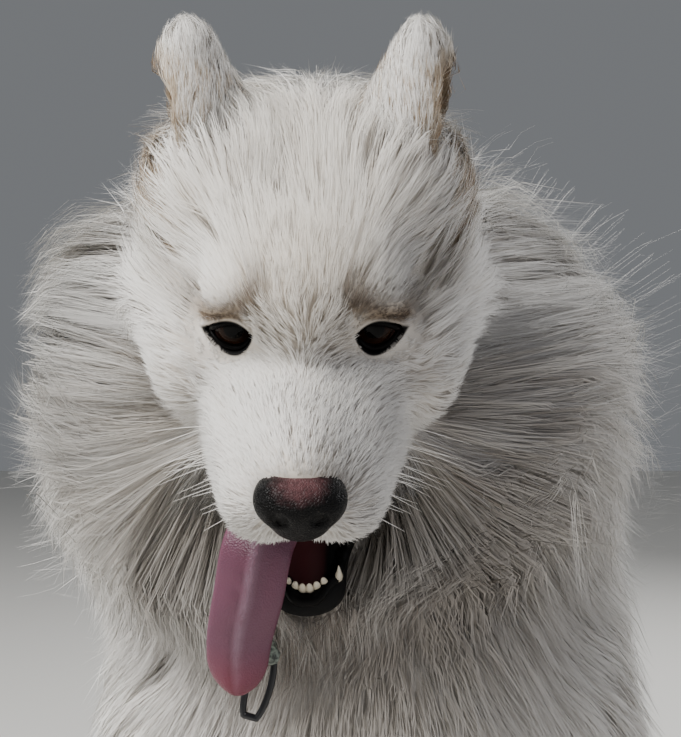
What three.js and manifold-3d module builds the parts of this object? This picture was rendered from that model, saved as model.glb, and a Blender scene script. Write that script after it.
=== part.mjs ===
// A life-size seated samoyed with its head lowered, its mouth open and its tongue out.
// Millimetres, +Z up. The dog faces -Y and its left side is +X. It rests on Z = 0.
import * as THREE from "three";
import { mergeVertices } from "three/addons/utils/BufferGeometryUtils.js";
import Module from "manifold-3d";

const wasm = await Module();
wasm.setup();

// Driving dimensions
const withersHeight = 550;
const eyeSpacing = 60; // between the centres of the eyeballs
const headPitch = THREE.MathUtils.degToRad(31);
const jawOpening = THREE.MathUtils.degToRad(25);
const eyeRadius = 11.5;
const coreShare = 0.38; // how far the dense undercoat reaches towards the tips of a long coat
const shortCoatDepth = 5; // a coat this short is dense out to its tips
const gap = 0.3; // left between touching meshes

// Places worked out from the driving dimensions
const eyeMiddle = new THREE.Vector3(-35, -200, withersHeight + 90);
const headFrame = new THREE.Matrix4()
  .makeRotationX(headPitch)
  .setPosition(eyeMiddle);
const jawHinge = new THREE.Vector3(0, 60, -36);
const elbowHeight = 0.54 * withersHeight;
const pelvisHeight = 0.2 * withersHeight;

const vec = (x, y, z) => new THREE.Vector3(x, y, z);
const up = vec(0, 0, 1);

// Fields: a muscle is a rounded cone or an ellipsoid, with the depth of the coat over it

function roundCone(a, ra, b, rb, coat, blend = 25) {
  const axis = b.clone().sub(a);
  const l2 = axis.lengthSq();
  const dr = ra - rb;
  const a2 = l2 - dr * dr;
  const il2 = 1 / l2;
  return {
    coat,
    blend,
    distance(x, y, z) {
      const px = x - a.x;
      const py = y - a.y;
      const pz = z - a.z;
      const along = px * axis.x + py * axis.y + pz * axis.z;
      const over = along - l2;
      const cx = px * l2 - axis.x * along;
      const cy = py * l2 - axis.y * along;
      const cz = pz * l2 - axis.z * along;
      const x2 = cx * cx + cy * cy + cz * cz;
      const y2 = along * along * l2;
      const z2 = over * over * l2;
      const k = Math.sign(dr) * dr * dr * x2;
      if (Math.sign(over) * a2 * z2 > k) return Math.sqrt(x2 + z2) * il2 - rb;
      if (Math.sign(along) * a2 * y2 < k) return Math.sqrt(x2 + y2) * il2 - ra;
      return (Math.sqrt(x2 * a2 * il2) + along * dr) * il2 - ra;
    },
  };
}

function ellipsoid(c, r, coat, blend = 25) {
  return {
    coat,
    blend,
    distance(x, y, z) {
      const px = (x - c.x) / r.x;
      const py = (y - c.y) / r.y;
      const pz = (z - c.z) / r.z;
      const k0 = Math.hypot(px, py, pz);
      const k1 = Math.hypot(px / r.x, py / r.y, pz / r.z);
      return k1 < 1e-9 ? -Math.min(r.x, r.y, r.z) : (k0 * (k0 - 1)) / k1;
    },
  };
}

// Mirrors what a maker returns for the dog's left (+1) and right (-1) side.
const bothSides = (make) => [1, -1].flatMap(make);

// Depths in the coat: the skin, the dense core that locks grow from, and the tips
const level = {
  skin: () => 0,
  core: (coat) => Math.min(coat, shortCoatDepth) + coreShare * Math.max(0, coat - shortCoatDepth),
  tips: (coat) => coat,
};

const coatReach = 14; // how far a muscle's depth of coat spreads into its neighbours'
const normalStep = 8; // over which a field's slope is measured

// A field joins muscles smoothly and may end at a plane. It gives the distance from the skin and
// the coat's depth.
function field(muscles, end) {
  return {
    skin(x, y, z) {
      let d = 1e9;
      for (const m of muscles) {
        const e = m.distance(x, y, z);
        const h = Math.max(m.blend - Math.abs(d - e), 0) / m.blend;
        d = Math.min(d, e) - (h * h * m.blend) / 4;
      }
      if (!end) return d;
      const { at, normal, blend } = end;
      const e = (x - at.x) * normal.x + (y - at.y) * normal.y + (z - at.z) * normal.z;
      const h = Math.max(blend - Math.abs(d - e), 0) / blend;
      return Math.max(d, e) + (h * h * blend) / 4;
    },
    coat(x, y, z) {
      let sum = 0;
      let weights = 0;
      for (const m of muscles) {
        const w = Math.exp(-m.distance(x, y, z) / coatReach);
        sum += w * m.coat;
        weights += w;
      }
      return sum / weights;
    },
    // Height above a depth of the coat
    above(x, y, z, depth) {
      return this.skin(x, y, z) - depth(this.coat(x, y, z));
    },
    // The way out of the skin
    normal({ x, y, z }) {
      const e = normalStep;
      return vec(
        this.skin(x + e, y, z) - this.skin(x - e, y, z),
        this.skin(x, y + e, z) - this.skin(x, y - e, z),
        this.skin(x, y, z + e) - this.skin(x, y, z - e),
      ).normalize();
    },
  };
}

// Solids

function solidOf(geometry) {
  const bare = geometry.clone();
  bare.deleteAttribute("normal");
  bare.deleteAttribute("uv");
  const merged = mergeVertices(bare, 1e-4);
  return new wasm.Manifold(
    new wasm.Mesh({
      numProp: 3,
      vertProperties: merged.attributes.position.array,
      triVerts: new Uint32Array(merged.index.array),
    }),
  );
}

function geometryOf(solid) {
  const mesh = solid.getMesh();
  return new THREE.BufferGeometry()
    .setAttribute("position", new THREE.BufferAttribute(mesh.vertProperties, 3))
    .setIndex(new THREE.BufferAttribute(mesh.triVerts, 1));
}

function largest(solid) {
  return solid.decompose().sort((a, b) => b.volume() - a.volume())[0];
}

const unionOf = (solids) => wasm.Manifold.union(solids);

const placed = (geometry, frame) => (frame ? geometry.applyMatrix4(frame) : geometry);

// Moves every vertex of a geometry by a function of its place.
function reshape(geometry, place) {
  const at = geometry.attributes.position;
  const p = vec(0, 0, 0);
  for (let i = 0; i < at.count; i++) {
    p.fromBufferAttribute(at, i);
    place(p);
    at.setXYZ(i, p.x, p.y, p.z);
  }
  return geometry;
}

// Moves every vertex of a solid out until each face round it lies farther out by the gap.
function swollen(solid) {
  const mesh = solid.getMesh();
  const corner = (i) => new THREE.Vector3().fromArray(mesh.vertProperties, 3 * i);
  const faces = Array.from({ length: mesh.numVert }, () => []);
  for (let t = 0; t < mesh.triVerts.length; t += 3) {
    const round = mesh.triVerts.subarray(t, t + 3);
    const normal = new THREE.Triangle(...Array.from(round, corner)).getNormal(vec(0, 0, 0));
    for (const i of round) faces[i].push(normal);
  }
  const moved = Float32Array.from(mesh.vertProperties);
  faces.forEach((normals, i) => {
    const shift = vec(0, 0, 0);
    for (let k = 0; k < 80; k++) {
      for (const n of normals) shift.addScaledVector(n, Math.max(0, gap - n.dot(shift)));
    }
    shift.clampLength(0, 12 * gap);
    corner(i).add(shift).toArray(moved, 3 * i);
  });
  return new wasm.Manifold(
    new wasm.Mesh({ numProp: 3, vertProperties: moved, triVerts: mesh.triVerts }),
  );
}

// A closed strap round a path, such as a tongue: wide along X, thin, and hollowed along its middle.
function strap(path, halfWidth, halfThickness, hollow, around, along) {
  const curve = new THREE.CatmullRomCurve3(path);
  return reshape(new THREE.SphereGeometry(1, around, along), (p) => {
    const t = (1 - THREE.MathUtils.clamp(p.y, -1, 1)) / 2;
    const at = curve.getPointAt(t);
    const forward = curve.getTangentAt(t);
    const across = vec(1, 0, 0).addScaledVector(forward, -forward.x).normalize();
    const face = forward.clone().cross(across);
    const round = Math.hypot(p.x, p.z) || 1;
    const end = Math.pow(Math.max(1 - p.y * p.y, 0), 0.25);
    const u = p.x / round;
    const v = p.z / round;
    const dip = hollow * end * (1 - Math.abs(u)) ** 2;
    p.copy(at)
      .addScaledVector(across, u * halfWidth(t) * end)
      .addScaledVector(face, v * halfThickness * end + dip);
  });
}

// The place where a ray from a spine leaves a field at a depth of its coat. The ray is a point of a
// unit sphere whose poles are the spine's ends.
function castOut(f, path, ray, depth) {
  const t = Math.acos(THREE.MathUtils.clamp(ray.y, -1, 1)) / Math.PI;
  const from = path.getPointAt(t);
  const axis = path.getTangentAt(t);
  const across = vec(1, 0, 0).addScaledVector(axis, -axis.x).normalize();
  const out = axis
    .clone()
    .cross(across)
    .multiplyScalar(ray.z)
    .addScaledVector(across, ray.x)
    .addScaledVector(axis, -ray.y)
    .normalize();
  const p = from.clone();
  for (let i = 0; i < 60; i++) {
    const height = f.above(p.x, p.y, p.z, depth);
    p.addScaledVector(out, -0.8 * height);
    if (Math.abs(height) < 0.01) break;
  }
  return p;
}

// A closed shell round a spine
function shell(f, spine, around, along, depth) {
  const path = new THREE.CatmullRomCurve3(spine);
  const sphere = new THREE.SphereGeometry(1, around, along);
  return reshape(sphere, (p) => p.copy(castOut(f, path, p, depth)));
}

// Locks: flat, tapered and bent, from a root sunk in the core to a tip at the coat's outside

const lockSteps = 3;
const lockWidths = [0.75, 1, 0.7, 0];
const lockThicknesses = [1, 1, 0.6, 0];
const lockHeights = [0, 0.5, 0.82, 1]; // from below the core to the tip's own height
const lockSink = 9;
const lockSpread = 0.14; // random part of a lock's length, width and direction

// A seeded source of numbers from 0 to 1
function seeded(seed) {
  let state = seed;
  return () => {
    state = (state * 1664525 + 1013904223) % 4294967296;
    return state / 4294967296;
  };
}

// A lock's stations. Each lies on the coat at its own height, one step further along the lie.
function lockStations(f, root, way, length, reach) {
  const p = root.clone();
  return lockWidths.map((_, i) => {
    const normal = f.normal(p);
    const coat = f.coat(p.x, p.y, p.z);
    const height = THREE.MathUtils.lerp(level.core(coat) - lockSink, coat * reach, lockHeights[i]);
    for (let k = 0; k < 4; k++) p.addScaledVector(normal, height - f.skin(p.x, p.y, p.z));
    const along = way(p);
    along.addScaledVector(normal, -along.dot(normal)).normalize();
    const station = { at: p.clone(), normal, side: along.clone().cross(normal) };
    p.addScaledVector(along, length / lockSteps);
    return station;
  });
}

function lockOf({ stations, halfWidth, halfThickness, frame }) {
  const cone = new THREE.ConeGeometry(1, 1, 4, lockSteps);
  reshape(cone, (p) => {
    const t = THREE.MathUtils.clamp(p.y + 0.5, 0, 1);
    const i = Math.round(t * lockSteps);
    const open = Math.max(1 - t, 1e-3);
    const { at, normal, side } = stations[i];
    const across = (p.x / open) * halfWidth * lockWidths[i];
    const out = (p.z / open) * halfThickness * lockThicknesses[i];
    p.copy(at).addScaledVector(side, across).addScaledVector(normal, out);
  });
  return solidOf(placed(cone, frame));
}

// A lock that would fold through itself where it bends is made narrower.
function lockSolid(lock) {
  const solid = lockOf(lock);
  const kept = solid.intersect(swollen(solid)).volume();
  const folded = Math.abs(kept - solid.volume()) > 0.1;
  return folded ? lockSolid({ ...lock, halfWidth: 0.8 * lock.halfWidth }) : solid;
}

// Rows of locks round a spine, each row half a lock further round than the one before.
// A row is { t, count, from, to }: its place along the spine, and its angles in degrees.
function lockRows({ f, spine, rows, way, size, reach = 1, skip = () => false, frame, seed }) {
  const random = seeded(seed);
  const vary = () => 1 + lockSpread * (2 * random() - 1);
  const path = new THREE.CatmullRomCurve3(spine);
  return rows.flatMap(({ t, count, from = 0, to = 360 }, row) =>
    Array.from({ length: count }, (_, k) => {
      const turn = THREE.MathUtils.degToRad(from + ((k + 0.25 + (row % 2) / 2) / count) * (to - from));
      const polar = Math.PI * (t + 0.02 * (random() - 0.5));
      const ray = vec(Math.sin(polar) * Math.cos(turn), Math.cos(polar), Math.sin(polar) * Math.sin(turn));
      const root = castOut(f, path, ray, level.core);
      const coat = f.coat(root.x, root.y, root.z);
      const lean = vec(random() - 0.5, random() - 0.5, random() - 0.5).multiplyScalar(2 * lockSpread);
      const { length, halfWidth, halfThickness } = size(coat);
      const lengthHere = length * vary();
      const lock = {
        frame,
        halfWidth: halfWidth * vary(),
        halfThickness,
        stations: lockStations(f, root, (p) => way(p).normalize().add(lean), lengthHere, reach * vary()),
      };
      return skip(root) ? [] : [lock];
    }).flat(),
  );
}

// Body muscles, from the ground up. Each side's legs are mirrored.

const coatOn = {
  face: 5,
  brow: 12,
  cheek: 26,
  crown: 32,
  mane: 92,
  throat: 42,
  chest: 62,
  back: 48,
  belly: 40,
  rump: 58,
  thigh: 50,
  shank: 24,
  elbow: 34,
  forearm: 18,
  paw: 7,
  tailRoot: 36,
  tail: 62,
};

const neckBase = vec(0, 38, 0.875 * withersHeight);
const neckMiddle = vec(-17, -22, eyeMiddle.z - 72);
const neckTop = vec(eyeMiddle.x + 2, eyeMiddle.y + 98, eyeMiddle.z - 4);

const neckMuscles = [
  roundCone(neckBase, 84, neckMiddle, 78, coatOn.mane),
  roundCone(neckMiddle, 78, neckTop, 64, coatOn.mane),
  roundCone(vec(0, -44, 470), 58, vec(-28, -62, 575), 38, coatOn.throat),
];

const chestMuscles = [
  roundCone(vec(0, 50, 465), 72, vec(0, 95, 400), 88, coatOn.back, 30),
  roundCone(vec(0, 95, 400), 88, vec(0, 205, 245), 86, coatOn.back, 40),
  roundCone(vec(0, -5, 405), 90, vec(0, 120, 235), 78, coatOn.belly, 40),
  ellipsoid(vec(0, -52, 405), vec(62, 48, 78), coatOn.chest, 30),
  ...bothSides((s) => [
    roundCone(vec(55 * s, 42, 478), 42, vec(62 * s, -42, 385), 46, coatOn.chest),
    roundCone(vec(62 * s, -42, 385), 46, vec(72 * s, 5, elbowHeight), 38, coatOn.elbow),
  ]),
];

const rumpMuscles = [
  roundCone(vec(0, 190, 265), 88, vec(0, 262, pelvisHeight), 92, coatOn.back, 40),
  ellipsoid(vec(0, 268, 92), vec(100, 84, 92), coatOn.rump, 40),
];

const thighMuscles = (s) => [
  roundCone(vec(66 * s, 235, 126), 84, vec(96 * s, 112, 148), 56, coatOn.thigh),
  roundCone(vec(98 * s, 104, 140), 48, vec(104 * s, 205, 62), 38, coatOn.shank),
];

const hindFootMuscles = (s) => [
  roundCone(vec(108 * s, 212, 46), 27, vec(112 * s, 112, 30), 24, coatOn.paw),
  ellipsoid(vec(114 * s, 92, 20), vec(27, 34, 20), coatOn.paw, 12),
];

const forelegMuscles = (s) => [
  roundCone(vec(72 * s, 0, elbowHeight), 37, vec(66 * s, -20, 112), 24, coatOn.forearm),
  roundCone(vec(66 * s, -20, 112), 24, vec(66 * s, -38, 48), 23, coatOn.forearm),
];

const forepawMuscles = (s) => [
  roundCone(vec(66 * s, -34, 60), 23, vec(67 * s, -50, 30), 22, coatOn.paw, 12),
  ellipsoid(vec(67 * s, -56, 20), vec(27, 32, 20), coatOn.paw, 12),
];

// The tail stands up behind the rump and curls forward over the dog's left hip.
const tailPath = [
  vec(0, 322, 128),
  vec(4, 384, 170),
  vec(14, 416, 236),
  vec(30, 412, 312),
  vec(52, 372, 372),
  vec(80, 312, 394),
  vec(108, 258, 372),
];
const tailRadii = [27, 24, 21, 19, 17, 14, 10];
const tailMuscles = tailPath
  .slice(1)
  .map((end, i) =>
    roundCone(tailPath[i], tailRadii[i], end, tailRadii[i + 1], i < 1 ? coatOn.tailRoot : coatOn.tail),
  );

// Head muscles in the head's own frame: the origin lies midway between the eyes, -Y is forward.

const eyeAt = (s) => vec((eyeSpacing / 2) * s, 3, 6);

const headMuscles = [
  ellipsoid(vec(0, 52, 4), vec(58, 66, 48), coatOn.crown, 16),
  ellipsoid(vec(0, 16, 14), vec(38, 32, 30), coatOn.brow, 14),
  roundCone(vec(0, 0, -20), 23, vec(0, -72, -27), 17, coatOn.face, 12),
  roundCone(vec(0, 20, -40), 26, vec(0, -60, -38), 18, coatOn.face, 12),
  ...bothSides((s) => [
    ellipsoid(vec(25 * s, 4, 19), vec(17, 12, 10), coatOn.face, 12),
    ellipsoid(vec(42 * s, 30, -22), vec(24, 40, 28), coatOn.cheek, 14),
    roundCone(vec(24 * s, 12, -36), 19, vec(14 * s, -64, -40), 16, coatOn.face, 10),
    roundCone(vec(30 * s, 6, -48), 12, vec(17 * s, -58, -46), 12, coatOn.face, 8),
    roundCone(vec(38 * s, 50, -26), 28, vec(34 * s, 76, -20), 30, 0.55 * coatOn.mane, 18),
    ellipsoid(eyeAt(s), vec(14, 14, 14), 1, 5),
  ]),
];

// The coat is short round the eyes and on the muzzle, and grows longer away from them.
const shortCoat = [
  roundCone(eyeAt(-1), 15, eyeAt(1), 15, 0),
  roundCone(vec(0, -8, -30), 30, vec(0, -70, -36), 22, 0),
];
const headField = field(headMuscles);
const longCoat = headField.coat;
headField.coat = (x, y, z) => {
  const away = Math.min(...shortCoat.map((part) => part.distance(x, y, z)));
  return Math.min(longCoat(x, y, z), coatOn.face + 0.6 * Math.max(0, away - 8));
};

const palateMuscles = [roundCone(vec(0, 34, -60), 22, vec(0, -66, -54), 11, 0)];

const jawMuscles = [
  roundCone(vec(0, 40, -62), 20, vec(0, -50, -72), 9, coatOn.face, 8),
  ellipsoid(vec(0, -60, -70), vec(16, 14, 10), coatOn.face, 8),
  ...bothSides((s) => [
    roundCone(vec(28 * s, 40, -54), 14, vec(15 * s, -30, -66), 8.5, coatOn.face, 8),
    roundCone(vec(15 * s, -30, -66), 8.5, vec(9 * s, -60, -69), 8, coatOn.face, 8),
  ]),
];
const jawTroughMuscles = [roundCone(vec(0, 34, -44), 17, vec(0, -58, -54), 8, 0)];
const jawFrame = headFrame
  .clone()
  .multiply(new THREE.Matrix4().makeTranslation(jawHinge))
  .multiply(new THREE.Matrix4().makeRotationX(jawOpening))
  .multiply(new THREE.Matrix4().makeTranslation(jawHinge.clone().negate()));

const noseMuscles = [
  ellipsoid(vec(0, -84, -24), vec(16, 13, 13), 0, 6),
  ellipsoid(vec(0, -82, -35), vec(9, 12, 10), 0, 6),
  ...bothSides((s) => [ellipsoid(vec(10 * s, -82, -27), vec(8, 12, 9), 0, 5)]),
];

const ear = {
  height: 90,
  root: (s) => vec(48 * s, 60, 32),
  lean: (s) => vec(0.07 * s, 0.13, 1).normalize(),
  turn: THREE.MathUtils.degToRad(80), // how far the opening faces outwards
  flat: 0.78, // depth of the cup against its width
};
const earMuscles = [
  roundCone(vec(0, 0, 0), 34, vec(0, 0, 0.5 * ear.height), 27, 0, 12),
  roundCone(vec(0, 0, 0.5 * ear.height), 27, vec(0, 1, ear.height - 10), 10, 0, 12),
];
const earCupMuscles = [
  roundCone(vec(0, -18, 4), 29, vec(0, -16, 0.5 * ear.height), 22, 0, 6),
  roundCone(vec(0, -16, 0.5 * ear.height), 22, vec(0, -11, ear.height - 22), 7, 0, 6),
];

// The tongue hangs out over the dog's right lower lip.
const tonguePath = [
  [-1, 50, -58],
  [-10, 24, -74],
  [-21, 6, -93],
  [-26, 6, -117],
  [-31, 12, -141],
  [-32, 16, -166],
].map(([x, y, z]) => vec(x, y, z).add(eyeMiddle));
const collarLoop = {
  at: vec(-57, -170, 477),
  halfWidth: 7,
  halfHeight: 15,
  cord: 1.8,
  bead: { radius: 4.5, height: 12 },
  tab: { width: 8, length: 34, thickness: 3 },
};
const tongue = { halfWidth: 16, halfThickness: 3.6, hollow: -4 };

// Joints between nodes, as planes: a point and the normal that points to the upper or outer node
const plane = (at, normal) => ({ at, normal: normal.normalize() });
const neckPlane = plane(vec(0, 60, withersHeight), vec(0, -0.468, 0.884));
const floorPlane = { at: vec(0, 0, -gap / 2), normal: up };
const middlePlane = (s) => plane(vec(0, 0, 0), vec(s, 0, 0));
const tailPlanes = [2, 4].map((i) => plane(tailPath[i], tailPath[i + 1].clone().sub(tailPath[i - 1])));

// Keeps the side of a plane that its normal points to (side 1) or the other one (side -1).
function trimmed(solid, { at, normal }, side = 1) {
  const n = normal.clone().multiplyScalar(side);
  return solid.trimByPlane(n.toArray(), n.dot(at) + gap / 2);
}

// The mane starts behind the face, where the body's field is rounded off at a plane.
const maskEnd = { ...plane(vec(0, eyeMiddle.y + 100, eyeMiddle.z + 60), vec(0, -0.977, 0.213)), blend: 50 };
const bodyField = field([...neckMuscles, ...chestMuscles, ...rumpMuscles], maskEnd);

// A closed solid that fills a field round a spine, out to a depth of its coat
const filled = (f, spine, around, along, frame, depth) =>
  solidOf(placed(shell(f, spine, around, along, depth), frame));

// Joins solids twice: as they are, and swollen so that their neighbours can be cut clear of them.
const pair = (solids, trim = (solid) => solid) => ({
  thin: unionOf(solids.map((solid) => trim(solid))),
  fat: unionOf(solids.map((solid) => trim(swollen(solid)))),
});

// Cuts a piece clear of its neighbours and keeps its largest closed surface.
const clearOf = (solid, ...neighbours) =>
  largest(neighbours.reduce((rest, other) => rest.subtract(other.fat), solid));

const lids = {
  halfWidth: 11,
  above: 8.2,
  below: 7.6,
  thickness: 2,
  slant: THREE.MathUtils.degToRad(-8),
  turnOut: THREE.MathUtils.degToRad(18),
};

const teeth = {
  gum: -64, // the height that their roots start from
  canineOut: 13.5,
  canineHeight: 11,
  canineRadius: 3,
  incisorStep: 3.7,
  incisorHeight: 9,
  incisorRadius: 2.1,
};

const claw = { stepAcross: 13.5, stepBack: 5, radius: 3.2 };

// Small pieces that are fused to a node

function almond(s) {
  const { halfWidth, above, below, slant, turnOut } = lids;
  const outline = new THREE.Shape();
  outline.moveTo(-halfWidth, 0);
  outline.quadraticCurveTo(0, 2 * above, halfWidth, 0);
  outline.quadraticCurveTo(0, -2 * below, -halfWidth, 0);
  const straight = { depth: 40, bevelEnabled: false, curveSegments: 6 };
  const opening = new THREE.ExtrudeGeometry(outline, straight).rotateX(Math.PI / 2);
  opening.rotateY(-slant * s).rotateZ(turnOut * s).translate(...eyeAt(s).toArray());
  return solidOf(placed(opening, headFrame));
}

const ball = (radius, at, frame) =>
  solidOf(placed(new THREE.SphereGeometry(radius, 12, 7).translate(...at.toArray()), frame));

// A cone from a root to a tip, such as a tooth or a claw.
function spike(root, tip, radius, sides, frame) {
  const length = root.distanceTo(tip);
  const cone = new THREE.ConeGeometry(radius, length, sides).translate(0, length / 2, 0);
  const along = tip.clone().sub(root).normalize();
  cone.applyQuaternion(new THREE.Quaternion().setFromUnitVectors(vec(0, 1, 0), along));
  return solidOf(placed(cone.translate(...root.toArray()), frame));
}

function lowerTeeth() {
  const canines = bothSides((s) => {
    const root = vec(teeth.canineOut * s, -56, teeth.gum);
    const tip = root.clone().add(vec(1.5 * s, -4, teeth.canineHeight));
    return [spike(root, tip, teeth.canineRadius, 7, jawFrame)];
  });
  const incisors = [-2.5, -1.5, -0.5, 0.5, 1.5, 2.5].map((i) => {
    const root = vec(teeth.incisorStep * i, -66 + 0.5 * i * i, teeth.gum);
    const tip = root.clone().add(vec(0, -1, teeth.incisorHeight));
    return spike(root, tip, teeth.incisorRadius, 5, jawFrame);
  });
  return [...canines, ...incisors];
}

// Four toes and claws in front of a paw's pad.
function toes(s, x, y) {
  return [-1.5, -0.5, 0.5, 1.5].flatMap((i) => {
    const toeX = x * s + claw.stepAcross * i;
    const toeY = y + claw.stepBack * i * i;
    const toe = new THREE.SphereGeometry(1, 7, 4).rotateX(Math.PI / 2).scale(9.5, 19, 15);
    return [
      solidOf(toe.translate(toeX, toeY, 15)),
      spike(vec(toeX, toeY - 13, 14), vec(toeX, toeY - 25, 7), claw.radius, 5),
    ];
  });
}

// The coat's locks

// Long coat carries long, broad locks.
const lockSize = (coat) => ({
  length: 45 + 1.15 * coat,
  halfWidth: 13 + 0.25 * coat,
  halfThickness: 2.5 + 0.06 * coat,
});

const headSpine = [vec(0, 90, 0), vec(0, 20, -8), vec(0, -66, -34)];
const headLocks = [
  ...lockRows({
    f: headField,
    spine: headSpine,
    frame: headFrame,
    seed: 11,
    rows: [
      { t: 0.42, count: 3, from: -60, to: 15 },
      { t: 0.42, count: 3, from: 165, to: 240 },
    ],
    way: (p) => vec(p.x / 60, 1, -0.35),
    size: (coat) => ({ ...lockSize(coat), length: 60 }),
  }),
  ...lockRows({
    f: headField,
    spine: headSpine,
    frame: headFrame,
    seed: 13,
    rows: [
      { t: 0.47, count: 3, from: 58, to: 122 },
      { t: 0.39, count: 2, from: 62, to: 118 },
    ],
    way: (p) => vec(p.x / 70, 0.6, 1),
    size: (coat) => ({ ...lockSize(coat), length: 58, halfWidth: 20 }),
    reach: 1.45,
  }),
];

const neckSpine = [vec(0, 20, 490), neckMiddle, vec(eyeMiddle.x + 2, eyeMiddle.y + 122, eyeMiddle.z - 14)];
const inHead = new THREE.Matrix4().copy(headFrame).invert();
function underHead(p) {
  const local = p.clone().applyMatrix4(inHead);
  return headField.above(local.x, local.y, local.z, level.core) < -6;
}
// Round the face the mane's hair spreads outwards. Further back it lies back and down.
function alongMane(p) {
  const spread = THREE.MathUtils.clamp((maskEnd.at.y + 90 - p.y) / 90, 0, 1);
  const out = vec(p.x - eyeMiddle.x, 0, p.z - eyeMiddle.z + 30).normalize();
  return out.multiplyScalar(1.3 * spread).add(vec(0.05, 0.5, -0.8 + 0.35 * spread));
}
const neckLocks = lockRows({
  f: bodyField,
  spine: neckSpine,
  seed: 23,
  rows: [
    { t: 0.84, count: 11 },
    { t: 0.72, count: 10 },
    { t: 0.6, count: 10 },
    { t: 0.48, count: 9 },
  ],
  way: alongMane,
  size: lockSize,
  reach: 1.12,
  skip: underHead,
});

const torsoSpine = [vec(0, 20, 450), vec(0, 60, 380), vec(0, 200, 230), vec(0, 262, 100)];
const legFields = bothSides((s) => [field(thighMuscles(s)), field(forelegMuscles(s))]);
const underLegs = (p) => legFields.some((f) => f.skin(p.x, p.y, p.z) < 8);
const torsoLocks = lockRows({
  f: bodyField,
  spine: torsoSpine,
  seed: 37,
  rows: [
    { t: 0.18, count: 5, from: 20, to: 160 },
    { t: 0.29, count: 10 },
    { t: 0.39, count: 10 },
    { t: 0.49, count: 9 },
    { t: 0.59, count: 9 },
    { t: 0.69, count: 9 },
    { t: 0.79, count: 8 },
  ],
  way: () => vec(0, 0.35, -0.9),
  size: lockSize,
  skip: (p) => p.z < 60 || underLegs(p),
});

const thighSpine = (s) => [vec(80 * s, 225, 120), vec(98 * s, 120, 130)];
const thighLocks = (s) =>
  lockRows({
    f: field(thighMuscles(s)),
    spine: thighSpine(s),
    seed: 41 + s,
    rows: [
      { t: 0.6, count: 6 },
      { t: 0.45, count: 5 },
      { t: 0.3, count: 5 },
    ],
    way: () => vec(0, 0.6, -0.8),
    size: lockSize,
    skip: (p) => p.x * s < 76 || p.z < 40 || bodyField.skin(p.x, p.y, p.z) < 12,
  });

const forelegSpine = (s) => [vec(72 * s, -4, elbowHeight - 10), vec(66 * s, -36, 55)];
const forelegLocks = (s) =>
  lockRows({
    f: field(forelegMuscles(s)),
    spine: forelegSpine(s),
    seed: 47 + s,
    rows: [
      { t: 0.66, count: 2, from: 225, to: 315 },
      { t: 0.44, count: 2, from: 225, to: 315 },
    ],
    way: () => vec(0, 0.55, -0.85),
    size: () => ({ length: 66, halfWidth: 13, halfThickness: 4 }),
    reach: 2.1,
  });

const tailCurve = new THREE.CatmullRomCurve3(tailPath);
const tailField = field(tailMuscles);
function alongTail(p) {
  let nearest = 0;
  let closest = 1e9;
  for (let i = 0; i <= 40; i++) {
    const far = tailCurve.getPointAt(i / 40).distanceTo(p);
    if (far < closest) [nearest, closest] = [i / 40, far];
  }
  return tailCurve.getTangentAt(nearest).add(vec(0, 0, -0.25));
}
const tailLocks = (spine, seed) =>
  lockRows({
    f: tailField,
    spine,
    seed,
    rows: [
      { t: 0.3, count: 4 },
      { t: 0.6, count: 4 },
    ],
    way: alongTail,
    size: lockSize,
    skip: (p) => bodyField.skin(p.x, p.y, p.z) < 12,
  });

// A node of flesh with its locks. The core may be trimmed before the locks are fused to it.
function furry(core, locks, trim) {
  const body = pair([core], trim);
  const hair = pair(locks.map(lockSolid));
  return { thin: body.thin.add(hair.thin), fat: body.fat.add(hair.fat) };
}

// Nodes, from the head backwards. Each is cut clear of the ones before it.

const nodes = {};
const sides = [
  ["left", 1],
  ["right", -1],
];

for (const [word, s] of sides) {
  nodes["eye_" + word] = pair([ball(eyeRadius, eyeAt(s), headFrame)]);
}

const noseSpine = [vec(0, -80, -27), vec(0, -86, -27)];
nodes.nose = pair([filled(field(noseMuscles), noseSpine, 14, 9, headFrame, level.skin)]);
const nostrils = bothSides((s) => [
  spike(vec(8.5 * s, -100, -30), vec(6.5 * s, -84, -26), 4.6, 8, headFrame),
  spike(vec(16 * s, -97, -35), vec(9 * s, -86, -28), 3, 6, headFrame),
]);
nodes.nose.thin = largest(nodes.nose.thin.subtract(unionOf(nostrils)));

const tongueHalfWidth = (t) => tongue.halfWidth * (0.8 + 0.2 * Math.sin(Math.PI * t));
nodes.tongue = pair([
  solidOf(strap(tonguePath, tongueHalfWidth, tongue.halfThickness, tongue.hollow, 10, 16)),
]);

const headCore = pair([filled(headField, headSpine, 24, 20, headFrame, level.core)]);

for (const [word, s] of sides) {
  const frame = headFrame
    .clone()
    .multiply(new THREE.Matrix4().makeTranslation(ear.root(s)))
    .multiply(
      new THREE.Matrix4().makeRotationFromQuaternion(
        new THREE.Quaternion().setFromUnitVectors(up, ear.lean(s)),
      ),
    )
    .multiply(new THREE.Matrix4().makeRotationZ(ear.turn * s))
    .multiply(new THREE.Matrix4().makeScale(1, ear.flat, 1));
  const spine = [vec(0, 0, 0), vec(0, 0, ear.height - 12)];
  nodes["ear_" + word] = pair([filled(field(earMuscles), spine, 14, 10, frame, level.skin)]);
  const cupSpine = [vec(0, -16, 4), vec(0, -9, ear.height - 22)];
  const cup = filled(field(earCupMuscles), cupSpine, 10, 6, frame, level.skin);
  nodes["ear_" + word].thin = clearOf(nodes["ear_" + word].thin.subtract(cup), headCore);
}

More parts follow.
